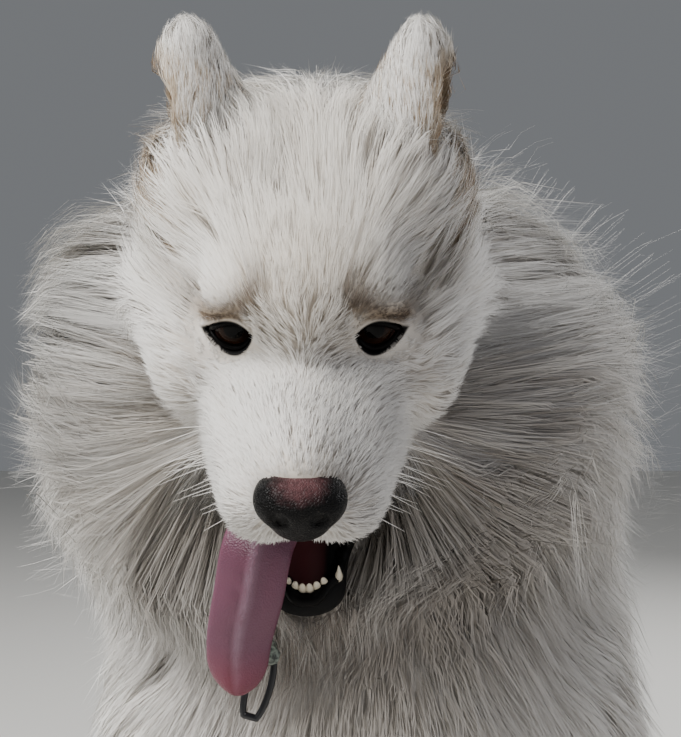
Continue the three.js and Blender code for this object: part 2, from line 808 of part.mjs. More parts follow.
const headHair = pair(headLocks.map(lockSolid));
const clearOfEars = (solid) => solid.subtract(nodes.ear_left.fat).subtract(nodes.ear_right.fat);
nodes.head = {
  thin: unionOf([
    headCore.thin,
    clearOfEars(headHair.thin),
    ...bothSides((s) => [ball(eyeRadius + lids.thickness, eyeAt(s), headFrame)]),
  ]),
  fat: headCore.fat.add(clearOfEars(headHair.fat)),
};
const palateSpine = [vec(0, 30, -60), vec(0, -62, -54)];
const mouthRoof = filled(field(palateMuscles), palateSpine, 10, 8, headFrame, level.skin);
nodes.head.thin = clearOf(
  nodes.head.thin.subtract(unionOf([mouthRoof, ...bothSides((s) => [almond(s)])])),
  nodes.eye_left,
  nodes.eye_right,
  nodes.nose,
  nodes.tongue,
);

const jawSpine = [vec(0, 50, -60), vec(0, -58, -71)];
nodes.jaw = pair([filled(field(jawMuscles), jawSpine, 14, 9, jawFrame, level.tips)]);
const troughSpine = [vec(0, 30, -44), vec(0, -54, -54)];
const jawTrough = filled(field(jawTroughMuscles), troughSpine, 10, 7, jawFrame, level.skin);
nodes.jaw.thin = clearOf(
  unionOf([nodes.jaw.thin.subtract(jawTrough), ...lowerTeeth()]),
  nodes.head,
  nodes.tongue,
);

function loopParts({ at, halfWidth, halfHeight, cord, bead, tab }) {
  const ring = new THREE.TorusGeometry(halfWidth - cord, cord, 6, 20).rotateX(Math.PI / 2);
  reshape(ring, (p) => {
    p.z += Math.sign(p.z) * (Math.abs(p.z) > 0.01 ? halfHeight - halfWidth : 0);
  });
  const barrel = new THREE.CylinderGeometry(bead.radius, bead.radius, bead.height, 10)
    .rotateX(Math.PI / 2)
    .translate(0, 0, halfHeight);
  const strip = new THREE.BoxGeometry(tab.width, tab.length, tab.thickness)
    .translate(0, tab.length / 2 + 1, halfHeight);
  return [ring, barrel, strip].map((g) => solidOf(g.translate(at.x, at.y, at.z)));
}
nodes.collar_loop = pair(loopParts(collarLoop));

nodes.neck = furry(
  filled(bodyField, neckSpine, 18, 10, null, level.core),
  neckLocks,
  (solid) => trimmed(solid, neckPlane),
);
nodes.neck.thin = clearOf(
  nodes.neck.thin,
  nodes.head,
  nodes.jaw,
  nodes.tongue,
  nodes.ear_left,
  nodes.ear_right,
  nodes.collar_loop,
);

nodes.torso = furry(
  filled(bodyField, torsoSpine, 18, 13, null, level.core),
  torsoLocks,
  (solid) => trimmed(solid, neckPlane, -1),
);
nodes.torso.thin = clearOf(
  trimmed(nodes.torso.thin, floorPlane),
  nodes.neck,
  nodes.head,
  nodes.collar_loop,
);

for (const [word, s] of sides) {
  nodes["foreleg_" + word] = furry(
    filled(field(forelegMuscles(s)), forelegSpine(s), 12, 10, null, level.tips),
    forelegLocks(s),
  );
  nodes["foreleg_" + word].thin = clearOf(nodes["foreleg_" + word].thin, nodes.torso);
  const pawSpine = [vec(66 * s, -44, 46), vec(67 * s, -68, 20)];
  nodes["forepaw_" + word] = pair([
    filled(field(forepawMuscles(s)), pawSpine, 10, 8, null, level.tips),
    ...toes(s, 67, -80),
  ]);
  nodes["forepaw_" + word].thin = clearOf(
    trimmed(nodes["forepaw_" + word].thin, floorPlane),
    nodes["foreleg_" + word],
  );
}

for (const [word, s] of sides) {
  nodes["thigh_" + word] = furry(
    filled(field(thighMuscles(s)), thighSpine(s), 12, 8, null, level.core),
    thighLocks(s),
  );
  nodes["thigh_" + word].thin = clearOf(
    trimmed(trimmed(nodes["thigh_" + word].thin, floorPlane), middlePlane(s)),
    nodes.torso,
    nodes["foreleg_" + word],
    nodes["forepaw_" + word],
  );
  const footSpine = [vec(109 * s, 205, 40), vec(114 * s, 82, 20)];
  nodes["hind_foot_" + word] = pair([
    filled(field(hindFootMuscles(s)), footSpine, 10, 9, null, level.tips),
    ...toes(s, 114, 66),
  ]);
  nodes["hind_foot_" + word].thin = clearOf(
    trimmed(nodes["hind_foot_" + word].thin, floorPlane),
    nodes["thigh_" + word],
    nodes.torso,
  );
}

const tailLengths = [
  ["tail_base", [0, 1, 2]],
  ["tail_middle", [2, 3, 4]],
  ["tail_tip", [4, 5, 6]],
];
tailLengths.forEach(([name, stations], i) => {
  const spine = stations.map((k) => tailPath[k]);
  const trim = (solid) => {
    const rest = i > 0 ? trimmed(solid, tailPlanes[i - 1]) : solid;
    return i < 2 ? trimmed(rest, tailPlanes[i], -1) : rest;
  };
  nodes[name] = furry(filled(tailField, spine, 9, 7, null, level.core), tailLocks(spine, 53 + i), trim);
  const before = i > 0 ? [nodes[tailLengths[i - 1][0]]] : [];
  nodes[name].thin = clearOf(
    nodes[name].thin,
    nodes.torso,
    nodes.neck,
    nodes.thigh_left,
    nodes.thigh_right,
    ...before,
  );
});

const finish = {
  eye: { color: 0x1b1310, roughness: 0.12 },
  nose: { color: 0x3d2f30, roughness: 0.4 },
  tongue: { color: 0xa9707f, roughness: 0.45 },
  collar: { color: 0x151517, roughness: 0.7 },
  ear: { color: 0xd9c6ad, roughness: 0.95 },
  other: { color: 0xe3dbcd, roughness: 0.95 },
};

const dog = new THREE.Group();
for (const [name, node] of Object.entries(nodes)) {
  const look = finish[name.split("_")[0]] ?? finish.other;
  const material = new THREE.MeshStandardMaterial({ ...look, metalness: 0 });
  const mesh = new THREE.Mesh(geometryOf(node.thin), material);
  mesh.name = name;
  dog.add(mesh);
}

// The origin lies under the middle of the whole dog, on the floor.
const box = new THREE.Box3().setFromObject(dog);
dog.position.set(-(box.min.x + box.max.x) / 2, -(box.min.y + box.max.y) / 2, -box.min.z);

export default dog;
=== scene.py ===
import math

import bmesh
import bpy
import numpy as np
from mathutils import Matrix, Vector
from mathutils.bvhtree import BVHTree


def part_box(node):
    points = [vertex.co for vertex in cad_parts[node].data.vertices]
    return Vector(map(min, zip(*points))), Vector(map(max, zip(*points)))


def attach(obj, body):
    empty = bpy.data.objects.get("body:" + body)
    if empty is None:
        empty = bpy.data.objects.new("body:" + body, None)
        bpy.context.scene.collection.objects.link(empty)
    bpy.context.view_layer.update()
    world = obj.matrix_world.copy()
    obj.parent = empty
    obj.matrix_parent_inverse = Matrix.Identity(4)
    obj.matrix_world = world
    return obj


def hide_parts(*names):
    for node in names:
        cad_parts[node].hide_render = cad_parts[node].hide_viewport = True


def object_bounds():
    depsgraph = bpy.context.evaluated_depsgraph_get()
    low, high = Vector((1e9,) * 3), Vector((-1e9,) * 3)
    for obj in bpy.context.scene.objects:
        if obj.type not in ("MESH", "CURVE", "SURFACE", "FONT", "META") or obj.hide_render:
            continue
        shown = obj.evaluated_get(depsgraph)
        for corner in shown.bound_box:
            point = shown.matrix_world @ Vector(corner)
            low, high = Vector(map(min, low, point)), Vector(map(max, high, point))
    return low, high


# A seated samoyed: one skin over smooth muscles, and a coat of fine mesh hair that follows its lie

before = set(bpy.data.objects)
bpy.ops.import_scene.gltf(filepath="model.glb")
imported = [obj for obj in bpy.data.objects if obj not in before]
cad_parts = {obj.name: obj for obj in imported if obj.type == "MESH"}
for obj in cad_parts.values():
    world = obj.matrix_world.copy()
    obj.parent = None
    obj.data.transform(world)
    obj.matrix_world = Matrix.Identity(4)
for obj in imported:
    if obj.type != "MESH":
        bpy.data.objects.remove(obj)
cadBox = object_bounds()
mm = 0.001
sides = (1, -1)  # the dog's left and its right
draw = np.random.default_rng(7)
print("frame loaded")


# Where the dog sits in the frame: everything is placed from its two eyes

dog = {
    "headPitch": 31,  # degrees that the face looks down
    "jawOpening": 25,
    "eyeBack": 3,  # mm behind and above the point midway between the lids
    "eyeUp": 6,
    "eyeRadius": 11.5,
    "elbowHeight": 297,
    "pelvisHeight": 110,
    "withersHeight": 550,
    "eyeMiddle": (-35, -200, 640),  # mm, in the solids' own coordinates
}


def middleOf(node):
    low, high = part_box(node)
    return (low + high) / 2


def turned(degrees, axis):
    return Matrix.Rotation(math.radians(degrees), 4, axis)


def moved(point):
    return Matrix.Translation(Vector(point) * mm)


eyeLeft, eyeRight = middleOf("eye_left"), middleOf("eye_right")
eyeOut = (eyeLeft.x - eyeRight.x) / 2 / mm
pitch = turned(dog["headPitch"], "X")
eyeMiddle = (eyeLeft + eyeRight) / 2 - pitch @ (Vector((0, dog["eyeBack"], dog["eyeUp"])) * mm)
headFrame = Matrix.Translation(eyeMiddle) @ pitch
bodyFrame = Matrix.Translation(eyeMiddle - Vector(dog["eyeMiddle"]) * mm)
jawHinge = Vector((0, 60, -36))
jawFrame = headFrame @ moved(jawHinge) @ turned(dog["jawOpening"], "X") @ moved(-jawHinge)


def through(matrix, p):
    matrix = np.array(matrix)
    return p @ matrix[:3, :3].T + matrix[:3, 3]


def placed(matrix, points):
    return through(matrix, np.array(points, float) * mm)


def insideFrame(matrix, p):  # in mm
    return through(matrix.inverted(), p) / mm


def inHead(p):  # mm to the left, backwards and up from the middle between the eyes
    return insideFrame(headFrame, p)


# Muscles are rounded cones and blobs in millimetres. Each names the kind of coat over it.

coatDepth = {  # mm from the skin to the tips
    "face": 5, "brow": 12, "cheek": 30, "crown": 48, "ruff": 64, "mane": 104, "throat": 42, "chest": 62,
    "back": 48, "belly": 40, "rump": 58, "thigh": 50, "shank": 24, "elbow": 34, "forearm": 18, "paw": 7,
    "tailRoot": 36, "tail": 62, "ear": 7, "lid": 1,
}
coatReach = 14 * mm  # how far a muscle's depth of coat spreads into its neighbours'
exactWithin = 80 * mm  # farther off, the distance to a muscle's bounding ball is near enough


def muscleOf(tag, blend, at, middle, radius, **shape):
    middle = np.array(at @ Vector(middle))
    radius = radius * max(at.to_scale())
    return {"tag": tag, "blend": blend * mm, "into": np.array(at.inverted()), "at": at, "middle": middle,
            "radius": radius, **shape}


def cone(tag, a, ra, b, rb, blend=25, at=bodyFrame):
    a, b, ra, rb = np.array(a) * mm, np.array(b) * mm, ra * mm, rb * mm
    radius = np.linalg.norm(b - a) / 2 + max(ra, rb)
    return muscleOf(tag, blend, at, (a + b) / 2, radius, a=a, ra=ra, b=b, rb=rb)


def blob(tag, c, r, blend=25, at=bodyFrame):
    return muscleOf(tag, blend, at, np.array(c) * mm, max(r) * mm, c=np.array(c) * mm, r=np.array(r) * mm)


def distance(muscle, p):
    d = np.linalg.norm(p - muscle["middle"], axis=1) - muscle["radius"]
    near = d < exactWithin
    if near.any():
        d[near] = exactDistance(muscle, through(muscle["into"], p[near]))
    return d


def exactDistance(muscle, q):  # to an ellipsoid or a rounded cone, less than 0 inside
    if "c" in muscle:
        q = q - muscle["c"]
        k0 = np.linalg.norm(q / muscle["r"], axis=1)
        k1 = np.linalg.norm(q / muscle["r"] ** 2, axis=1)
        return k0 * (k0 - 1) / np.maximum(k1, 1e-9)
    axis = muscle["b"] - muscle["a"]
    l2 = axis @ axis
    dr = muscle["ra"] - muscle["rb"]
    a2 = l2 - dr * dr
    q = q - muscle["a"]
    along = q @ axis
    over = along - l2
    x2 = np.maximum((q * q).sum(1) * l2 - along * along, 0) * l2
    y2 = along * along * l2
    z2 = over * over * l2
    k = np.sign(dr) * dr * dr * x2
    middle = (np.sqrt(x2 * a2 / l2) + along * dr) / l2 - muscle["ra"]
    start = np.sqrt(x2 + y2) / l2 - muscle["ra"]
    end = np.sqrt(x2 + z2) / l2 - muscle["rb"]
    return np.where(np.sign(over) * a2 * z2 > k, end, np.where(np.sign(along) * a2 * y2 < k, start, middle))


def joined(d, e, blend):
    h = np.maximum(blend - abs(d - e), 0) / blend
    return np.minimum(d, e) - h * h * blend / 4


def carved(d, hole, blend):
    return -joined(-d, hole, blend)


def withMuscles(d, muscles, p):
    for muscle in muscles:
        d = joined(d, distance(muscle, p), muscle["blend"])
    return d


def skinOf(muscles, p):
    return withMuscles(distance(muscles[0], p), muscles[1:], p)


def coatOver(muscles, p):
    weights = np.stack([np.exp(-np.clip(distance(m, p), -0.2, 0.2) / coatReach) for m in muscles])
    depths = np.array([coatDepth[m["tag"]] for m in muscles]) * mm
    return depths @ weights / weights.sum(0)


def smooth(t):
    t = np.clip(t, 0, 1)
    return t * t * (3 - 2 * t)


def ramp(value, start, width):  # 0 up to the start, 1 from the width beyond it
    return smooth((value - start) / width)


def spot(*parts):  # 1 in the middle and less around it; each part is a distance and a width
    return np.exp(-sum((far / width) ** 2 for far, width in parts))


def unit(v):
    return v / np.maximum(np.linalg.norm(v, axis=-1, keepdims=True), 1e-9)


def fromBall(p, centre, radii):
    return np.linalg.norm((p - centre) / radii, axis=1) - 1


_, eyeY, eyeZ = dog["eyeMiddle"]
elbow, pelvis = dog["elbowHeight"], dog["pelvisHeight"]

neckMuscles = [
    cone("mane", (0, 38, 0.875 * dog["withersHeight"]), 84, (-17, -22, eyeZ - 72), 78),
    cone("mane", (-17, -22, eyeZ - 72), 78, (-33, eyeY + 98, eyeZ - 4), 64),
    cone("throat", (0, -44, 470), 58, (-28, -62, 575), 38),
]
torsoMuscles = [
    cone("back", (0, 50, 465), 72, (0, 95, 400), 88, 30),
    cone("back", (0, 95, 400), 88, (0, 205, 245), 86, 40),
    cone("belly", (0, -5, 405), 90, (0, 120, 235), 78, 40),
    blob("chest", (0, -52, 405), (62, 48, 78), 30),
    *[cone("chest", (55 * s, 42, 478), 42, (62 * s, -42, 385), 46) for s in sides],
    *[cone("elbow", (62 * s, -42, 385), 46, (72 * s, 5, elbow), 38) for s in sides],
    cone("back", (0, 190, 265), 88, (0, 262, pelvis), 92, 40),
    blob("rump", (0, 268, 92), (100, 84, 92), 40),
]
maskAt = np.array(eyeMiddle) + np.array((0, 100, 60)) * mm  # the mane starts behind this plane
maskNormal = np.array((0, -0.977, 0.213))
maskBlend = 50 * mm


def inFrontOfMask(p):
    return (p - maskAt) @ maskNormal


toePlaces = []  # four toes on each foot, in an arc
for s in sides:
    for x, y in ((114, 66), (67, -80)):
        toePlaces += [(x * s + 13.5 * i, y + 5 * i * i) for i in (-1.5, -0.5, 0.5, 1.5)]
toeMuscles = [blob("paw", (*place, 14), (7.5, 16, 12), 5) for place in toePlaces]

legMuscles = []
for s in sides:
    legMuscles += [
        cone("thigh", (66 * s, 235, 126), 84, (96 * s, 112, 148), 56),
        cone("shank", (98 * s, 104, 140), 48, (104 * s, 205, 62), 38),
        cone("paw", (108 * s, 212, 46), 27, (112 * s, 112, 30), 24, 16),
        blob("paw", (114 * s, 92, 20), (27, 34, 20), 12),
        cone("forearm", (72 * s, 0, elbow), 37, (66 * s, -20, 112), 24, 16),
        cone("forearm", (66 * s, -20, 112), 24, (66 * s, -38, 48), 23, 16),
        cone("paw", (66 * s, -34, 60), 23, (67 * s, -50, 30), 22, 12),
        blob("paw", (67 * s, -56, 20), (27, 32, 20), 12),
    ]

tailPath = [  # up behind the rump, then forward over the dog's left hip
    (0, 322, 128), (4, 384, 170), (14, 416, 236), (30, 412, 312), (52, 372, 372), (80, 312, 394),
    (108, 258, 372),
]
tailRadii = [27, 24, 21, 19, 17, 14, 10]
tailMuscles = [
    cone("tail" if i else "tailRoot", tailPath[i], tailRadii[i], tailPath[i + 1], tailRadii[i + 1])
    for i in range(len(tailPath) - 1)
]


def headCone(tag, a, ra, b, rb, blend):
    return cone(tag, a, ra, b, rb, blend, headFrame)


def headBlob(tag, c, r, blend):
    return blob(tag, c, r, blend, headFrame)


def eyeAt(s):
    return (eyeOut * s, dog["eyeBack"], dog["eyeUp"])


headMuscles = [
    headBlob("crown", (0, 52, 4), (58, 66, 48), 16),
    headBlob("brow", (0, 16, 14), (38, 32, 30), 14),
    headCone("face", (0, 0, -20), 23, (0, -72, -27), 17, 12),
    headCone("face", (0, 20, -40), 26, (0, -60, -38), 18, 12),
    headBlob("face", (0, 2, 6), (13, 17, 17), 16),
]
for s in sides:
    headMuscles += [
        headBlob("crown", (39 * s, 48, 40), (13, 13, 15), 14),
        headBlob("face", (25 * s, 4, 19), (17, 12, 10), 12),
        headBlob("cheek", (46 * s, 30, -22), (27, 40, 31), 14),
        headCone("face", (24 * s, 12, -36), 19, (14 * s, -64, -40), 16, 10),
        headCone("face", (30 * s, 12, -18), 16, (15 * s, -42, -31), 14, 14),
        headCone("face", (30 * s, 6, -48), 12, (17 * s, -58, -46), 12, 8),
        headCone("ruff", (38 * s, 50, -26), 28, (34 * s, 76, -20), 30, 18),
        headBlob("lid", eyeAt(s), (14, 14, 14), 5),
    ]
jawMuscles = [
    cone("face", (0, 40, -62), 20, (0, -50, -72), 9, 8, jawFrame),
    blob("face", (0, -60, -70), (16, 14, 10), 8, jawFrame),
]
for s in sides:
    jawMuscles += [
        cone("face", (28 * s, 40, -54), 14, (15 * s, -30, -66), 8.5, 8, jawFrame),
        cone("face", (15 * s, -30, -66), 8.5, (9 * s, -60, -69), 8, 8, jawFrame),
    ]
mouthMuscles = [
    headCone("face", (0, 34, -60), 22, (0, -66, -54), 11, 8),
    cone("face", (0, 34, -44), 17, (0, -58, -54), 8, 8, jawFrame),
]
shortCoat = [
    headCone("face", (-eyeOut, 3, 6), 15, (eyeOut, 3, 6), 15, 8),
    headCone("face", (0, -8, -30), 30, (0, -70, -36), 22, 8),
    headCone("face", (0, -8, -4), 20, (0, 8, 20), 12, 8),
    *[headCone("face", (54 * s, 22, -24), 16, (24 * s, -4, -12), 16, 8) for s in sides],
]

ear = {"height": 90, "turn": 80, "flat": 0.78, "inset": 4}  # mm, degrees, depth against width


def earFrame(s):
    lean = Vector((0.07 * s, 0.13, 1)).normalized()
    return (
        headFrame
        @ moved((48 * s, 60, 32))
        @ Vector((0, 0, 1)).rotation_difference(lean).to_matrix().to_4x4()
        @ turned(ear["turn"] * s, "Z")
        @ Matrix.Diagonal((1, ear["flat"], 1, 1))
    )


earMuscles, earCups = [], []
for s in sides:
    h, r = ear["height"], ear["inset"]
    earMuscles += [
        cone("ear", (0, 0, 0), 34 - r, (0, 0, 0.5 * h), 27 - r, 12, earFrame(s)),
        cone("ear", (0, 0, 0.5 * h), 27 - r, (0, 1, h - 14), 11, 12, earFrame(s)),
    ]
    earCups += [
        cone("ear", (0, -20, 4), 28, (0, -18, 0.5 * h), 21, 6, earFrame(s)),
        cone("ear", (0, -18, 0.5 * h), 21, (0, -12, h - 24), 6, 6, earFrame(s)),
    ]

lids = {  # mm and degrees; the almond is fullest towards the nose by the share "skew"
    "halfWidth": 11, "above": 5.6, "below": 7.6, "slant": -8, "turnOut": 18, "open": 0.9, "skew": 0.3,
    "mean": 7, "front": 2, "crease": 2.9, "creaseWidth": 0.8, "creaseDepth": 1,
}


def lidFrame(s):
    return headFrame @ moved(eyeAt(s)) @ turned(lids["turnOut"] * s, "Z") @ turned(-lids["slant"] * s, "Y")


def almond(s, x):
    return np.clip(1 - lids["skew"] * s * x / lids["halfWidth"], 0.5, 1.5)


def lidOpening(s, p):  # below 0 inside the almond in front of the eye
    x, y, z = insideFrame(lidFrame(s), p).T
    bow = (1 - (x / lids["halfWidth"]) ** 2) * almond(s, x)
    middle = bow * (lids["above"] - lids["below"]) / 2
    half = bow * (lids["above"] + lids["below"]) / 2
    steep = 2 * x * lids["mean"] / lids["halfWidth"] ** 2
    edge = (abs(z - middle) - half) / np.sqrt(1 + steep**2) - lids["open"]
    return np.maximum(edge, y + lids["front"]) * mm


def lidEdges(p):
    return np.minimum(*[lidOpening(s, p) for s in sides])


def lidCrease(p):  # 1 in the fold of skin over each upper lid
    total = 0
    for s, eye in zip(sides, (eyeLeft, eyeRight)):
        up = ramp(insideFrame(lidFrame(s), p)[:, 2], 1, 4)
        near = smooth(2 - np.linalg.norm(p - np.array(eye), axis=1) / (12 * mm))
        line = (lidOpening(s, p) / mm - lids["crease"]) / lids["creaseWidth"]
        total = total + up * near * np.exp(-line * line)
    return total


headAll = headMuscles + jawMuscles
bodyCore = neckMuscles + torsoMuscles
bodyRest = legMuscles + tailMuscles


def bodySkin(p):
    core = carved(skinOf(bodyCore, p), inFrontOfMask(p) * -1, maskBlend)
    return withMuscles(core, bodyRest, p)


def bodyWithToes(p):
    return withMuscles(bodySkin(p), toeMuscles, p)


def earlessHead(p):
    return joined(skinOf(headMuscles, p), skinOf(jawMuscles, p), 10 * mm)


def headSkin(p):
    return joined(earlessHead(p), skinOf(earMuscles, p), 10 * mm)


def headCarved(p):  # with the mouth, the ears' cups and the openings of the lids
    d = carved(headSkin(p), skinOf(mouthMuscles, p), 4 * mm)
    d = carved(d, skinOf(earCups, p), 3 * mm)
    for s in sides:
        d = carved(d, lidOpening(s, p), 1.2 * mm)
    return d + lids["creaseDepth"] * mm * lidCrease(p)


def domeSkin(p):  # without the ears, which stand out of the long coat
    return joined(bodySkin(p), earlessHead(p), 25 * mm)


def slope(surface, p, step, here=None):
    here = surface(p) if here is None else here
    return np.stack([surface(p + offset) - here for offset in np.eye(3) * step], 1) / step


def nearEyes(p):
    return np.minimum(*[np.linalg.norm(p - np.array(e), axis=1) for e in (eyeLeft, eyeRight)])


overhang = {"rise": 13, "above": 25, "tall": 21, "from": 40, "soft": 24}  # mm, outside the eyes' corners
faceCoat = {"slope": 0.36, "steeper": 0.3, "start": 8, "flatter": 0.3, "atLids": 0.4, "behind": 50}


def overEyes(p):
    x, y, z = ((p - np.array(eyeMiddle)) / mm).T
    beside = ramp(abs(x), overhang["from"], overhang["soft"]) * ramp(-y, -120, 40)
    return beside * spot((z - overhang["above"], overhang["tall"]))


def besideEyes(p):  # 0 at the lids, where the hair is shortest, 1 beyond them
    return ramp(nearEyes(p) / mm, 14, 16)


def coatAt(p):
    # the coat's depth: it deepens away from the short hair of the face, and fastest on the forehead
    x, _, z = inHead(p).T
    away = np.minimum.reduce([distance(muscle, p) for muscle in shortCoat])
    steep = faceCoat["slope"] + faceCoat["steeper"] * ramp(z, 10, 20)
    deeper = steep * np.maximum(0, away - faceCoat["start"] * mm)
    head = np.minimum(coatOver(headAll, p), coatDepth["face"] * mm + deeper)
    head = head * (1 - faceCoat["flatter"] * ramp(abs(x), 44, 20) * ramp(z, 16, 20))  # beside the ears
    head = head + overhang["rise"] * mm * overEyes(p)
    behind = smooth(0.5 - inFrontOfMask(p) / (faceCoat["behind"] * mm))
    head = head * (faceCoat["atLids"] + (1 - faceCoat["atLids"]) * besideEyes(p))
    return head + (coatOver(bodyCore + bodyRest, p) - head) * behind


def onEar(p):
    # the part of an ear that stands clear of the crown's hair
    ear = skinOf(earMuscles, p) < 3 * mm
    return ear & (domeSkin(p) > 0.45 * coatAt(p))


# Skin

skinMesh = {"body": 6, "head": 2.2, "hollows": 3, "lowest": 0.3}  # mm: voxels, height off the floor


def newObject(name, mesh):
    piece = bpy.data.objects.new(name, mesh)
    bpy.context.scene.collection.objects.link(piece)
    return piece


def fromBmesh(name, bm):
    mesh = bpy.data.meshes.new(name)
    bm.to_mesh(mesh)
    bm.free()
    return newObject(name, mesh)


def addMuscle(bm, muscle):
    if "c" in muscle:
        local = Matrix.Translation(muscle["c"]) @ Matrix.Diagonal((*muscle["r"], 1))
        bmesh.ops.create_icosphere(bm, subdivisions=3, radius=1, matrix=muscle["at"] @ local)
        return
    far = np.linalg.norm(muscle["b"] - muscle["a"])
    steps = max(2, int(far / (0.35 * min(muscle["ra"], muscle["rb"]))))
    for i in range(steps + 1):
        t = i / steps
        local = Matrix.Translation(muscle["a"] + (muscle["b"] - muscle["a"]) * t)
        radius = muscle["ra"] + (muscle["rb"] - muscle["ra"]) * t
        bmesh.ops.create_icosphere(bm, subdivisions=2, radius=radius, matrix=muscle["at"] @ local)


def lumpOf(name, muscles):
    bm = bmesh.new()
    for muscle in muscles:
        addMuscle(bm, muscle)
    return fromBmesh(name, bm)


def remesh(piece, voxel):
    modifier = piece.modifiers.new("Remesh", "REMESH")
    modifier.mode = "VOXEL"
    modifier.voxel_size = voxel * mm
    return piece


def cut(piece, other, operation="DIFFERENCE"):
    modifier = piece.modifiers.new("Boolean", "BOOLEAN")
    modifier.operation = operation
    modifier.solver = "MANIFOLD"
    modifier.object = other
    return piece


def edited(piece, change):
    bm = bmesh.new()
    bm.from_mesh(piece.data)
    change(bm)
    bm.to_mesh(piece.data)
    bm.free()


def smoothed(piece):
    piece.data.polygons.foreach_set("use_smooth", np.ones(len(piece.data.polygons), bool))
    piece.data.update()
    return piece


def applied(piece):
    bpy.context.view_layer.update()
    mesh = bpy.data.meshes.new_from_object(piece.evaluated_get(bpy.context.evaluated_depsgraph_get()))
    old = piece.data
    piece.modifiers.clear()
    piece.data = mesh
    bpy.data.meshes.remove(old)
    return piece


def dropped(*pieces):
    for piece in pieces:
        bpy.data.objects.remove(piece)


def verticesOf(mesh):
    co = np.empty(len(mesh.vertices) * 3)
    mesh.vertices.foreach_get("co", co)
    return co.reshape(-1, 3)


def settle(piece, surface, rounds, step):
    # moves every vertex onto a surface, along its slope
    p = verticesOf(piece.data)
    for _ in range(rounds):
        d = surface(p)
        g = slope(surface, p, step, d)
        p -= np.clip(d / np.maximum((g * g).sum(1), 0.2), -4 * mm, 4 * mm)[:, None] * g
    piece.data.vertices.foreach_set("co", p.ravel())
    piece.data.update()


def socketPiece(s):
    # an almond-shaped plug that opens the lids down to the ball
    bm = bmesh.new()
    bmesh.ops.create_cone(bm, cap_ends=True, segments=40, radius1=1, radius2=1, depth=40 * mm)
    for v in bm.verts:
        t = math.atan2(v.co.y, v.co.x)
        tall = lids["above"] if t > 0 else lids["below"]
        v.co = Vector((lids["halfWidth"] * math.cos(t) * mm, v.co.z - 22 * mm,
                       math.copysign(tall * math.sin(t) ** 2, t) * mm))
    bmesh.ops.recalc_face_normals(bm, faces=bm.faces)
    bmesh.ops.transform(bm, matrix=lidFrame(s), verts=bm.verts)
    return fromBmesh("socket", bm)


headPiece = applied(remesh(lumpOf("headLump", headAll + earMuscles), skinMesh["head"]))
hollows = [socketPiece(s) for s in sides]
for name, muscles in (("cupLump", earCups), ("mouthLump", mouthMuscles)):
    hollows.insert(0, applied(remesh(lumpOf(name, muscles), skinMesh["hollows"])))
for hollow in hollows:
    cut(headPiece, hollow)
applied(remesh(headPiece, skinMesh["head"]))
dropped(*hollows)


def refine(piece, wanted):
    # halves the edges of the wanted faces, where the form is finest
    def halved(bm):
        chosen = wanted(np.array([f.calc_center_median() for f in bm.faces]))
        edges = {e for f, keep in zip(bm.faces, chosen) if keep for e in f.edges}
        edges = sorted(edges, key=lambda e: e.index)
        bmesh.ops.subdivide_edges(bm, edges=edges, cuts=1, use_grid_fill=True)
        bmesh.ops.triangulate(bm, faces=bm.faces)

    edited(piece, halved)


def onMuzzle(p):
    _, y, z = inHead(p).T
    return (y < 0) & (z < -10)


settle(headPiece, headSkin, 2, 1.5 * mm)
refine(headPiece, lambda p: (nearEyes(p) < 24 * mm) | onMuzzle(p))
refine(headPiece, lambda p: nearEyes(p) < 18 * mm)
settle(headPiece, headCarved, 6, 0.6 * mm)
print("head skin", len(headPiece.data.polygons))

bodyPiece = applied(remesh(lumpOf("bodyLump", bodyCore + bodyRest + toeMuscles), skinMesh["body"]))
settle(bodyPiece, bodyWithToes, 5, 2 * mm)
print("body skin", len(bodyPiece.data.polygons))

skin = applied(cut(bodyPiece, headPiece, "UNION"))
skin.name = "skin"
skin.data.materials.clear()
dropped(headPiece)


def setDown(bm):  # flat where it touches the floor
    for v in bm.verts:
        v.co.z = max(v.co.z, skinMesh["lowest"] * mm)
    bmesh.ops.triangulate(bm, faces=bm.faces)


edited(skin, setDown)
smoothed(skin)
print("skin", len(skin.data.polygons))


# The unwrap gives each tuft its place on the baked map

bakeMap = "OFBake"


def unwrap(piece):
    piece.data.uv_layers.new(name=bakeMap)
    bpy.context.view_layer.objects.active = piece
    piece.select_set(True)
    bpy.ops.object.mode_set(mode="EDIT")
    bpy.ops.mesh.select_all(action="SELECT")
    bpy.ops.uv.smart_project(angle_limit=math.radians(70), island_margin=0.002)
    bpy.ops.object.mode_set(mode="OBJECT")
    piece.select_set(False)


unwrap(skin)
print("skin unwrapped")


# Coat

everyMuscle = headAll + bodyCore + bodyRest
everyTag = np.array([muscle["tag"] for muscle in everyMuscle])
wrongSide = 0.05  # metres added for a head's muscle behind the mask or a body's in front of it


def tagAt(p):
    nearest = np.full(len(p), 1e3)
    found = np.zeros(len(p), int)
    front = inFrontOfMask(p)
    for i, muscle in enumerate(everyMuscle):
        wrong = front > 0 if i >= len(headAll) else front < -20 * mm
        far = distance(muscle, p) + wrongSide * wrong
        closer = far < nearest
        nearest[closer] = far[closer]
        found[closer] = i
    return everyTag[found]


tailCurve = np.array(bodyFrame.translation) + np.array(tailPath) * mm
tailSteps = np.linspace(0, len(tailPath) - 1, 49)
tailLine = np.stack([np.interp(tailSteps, range(len(tailPath)), tailCurve[:, k]) for k in range(3)], 1)
tailWay = unit(np.gradient(tailLine, axis=0))


def alongTail(p):
    nearest = np.argmin(((p[:, None] - tailLine) ** 2).sum(2), axis=1)
    return tailWay[nearest] + (0, 0, -0.25)


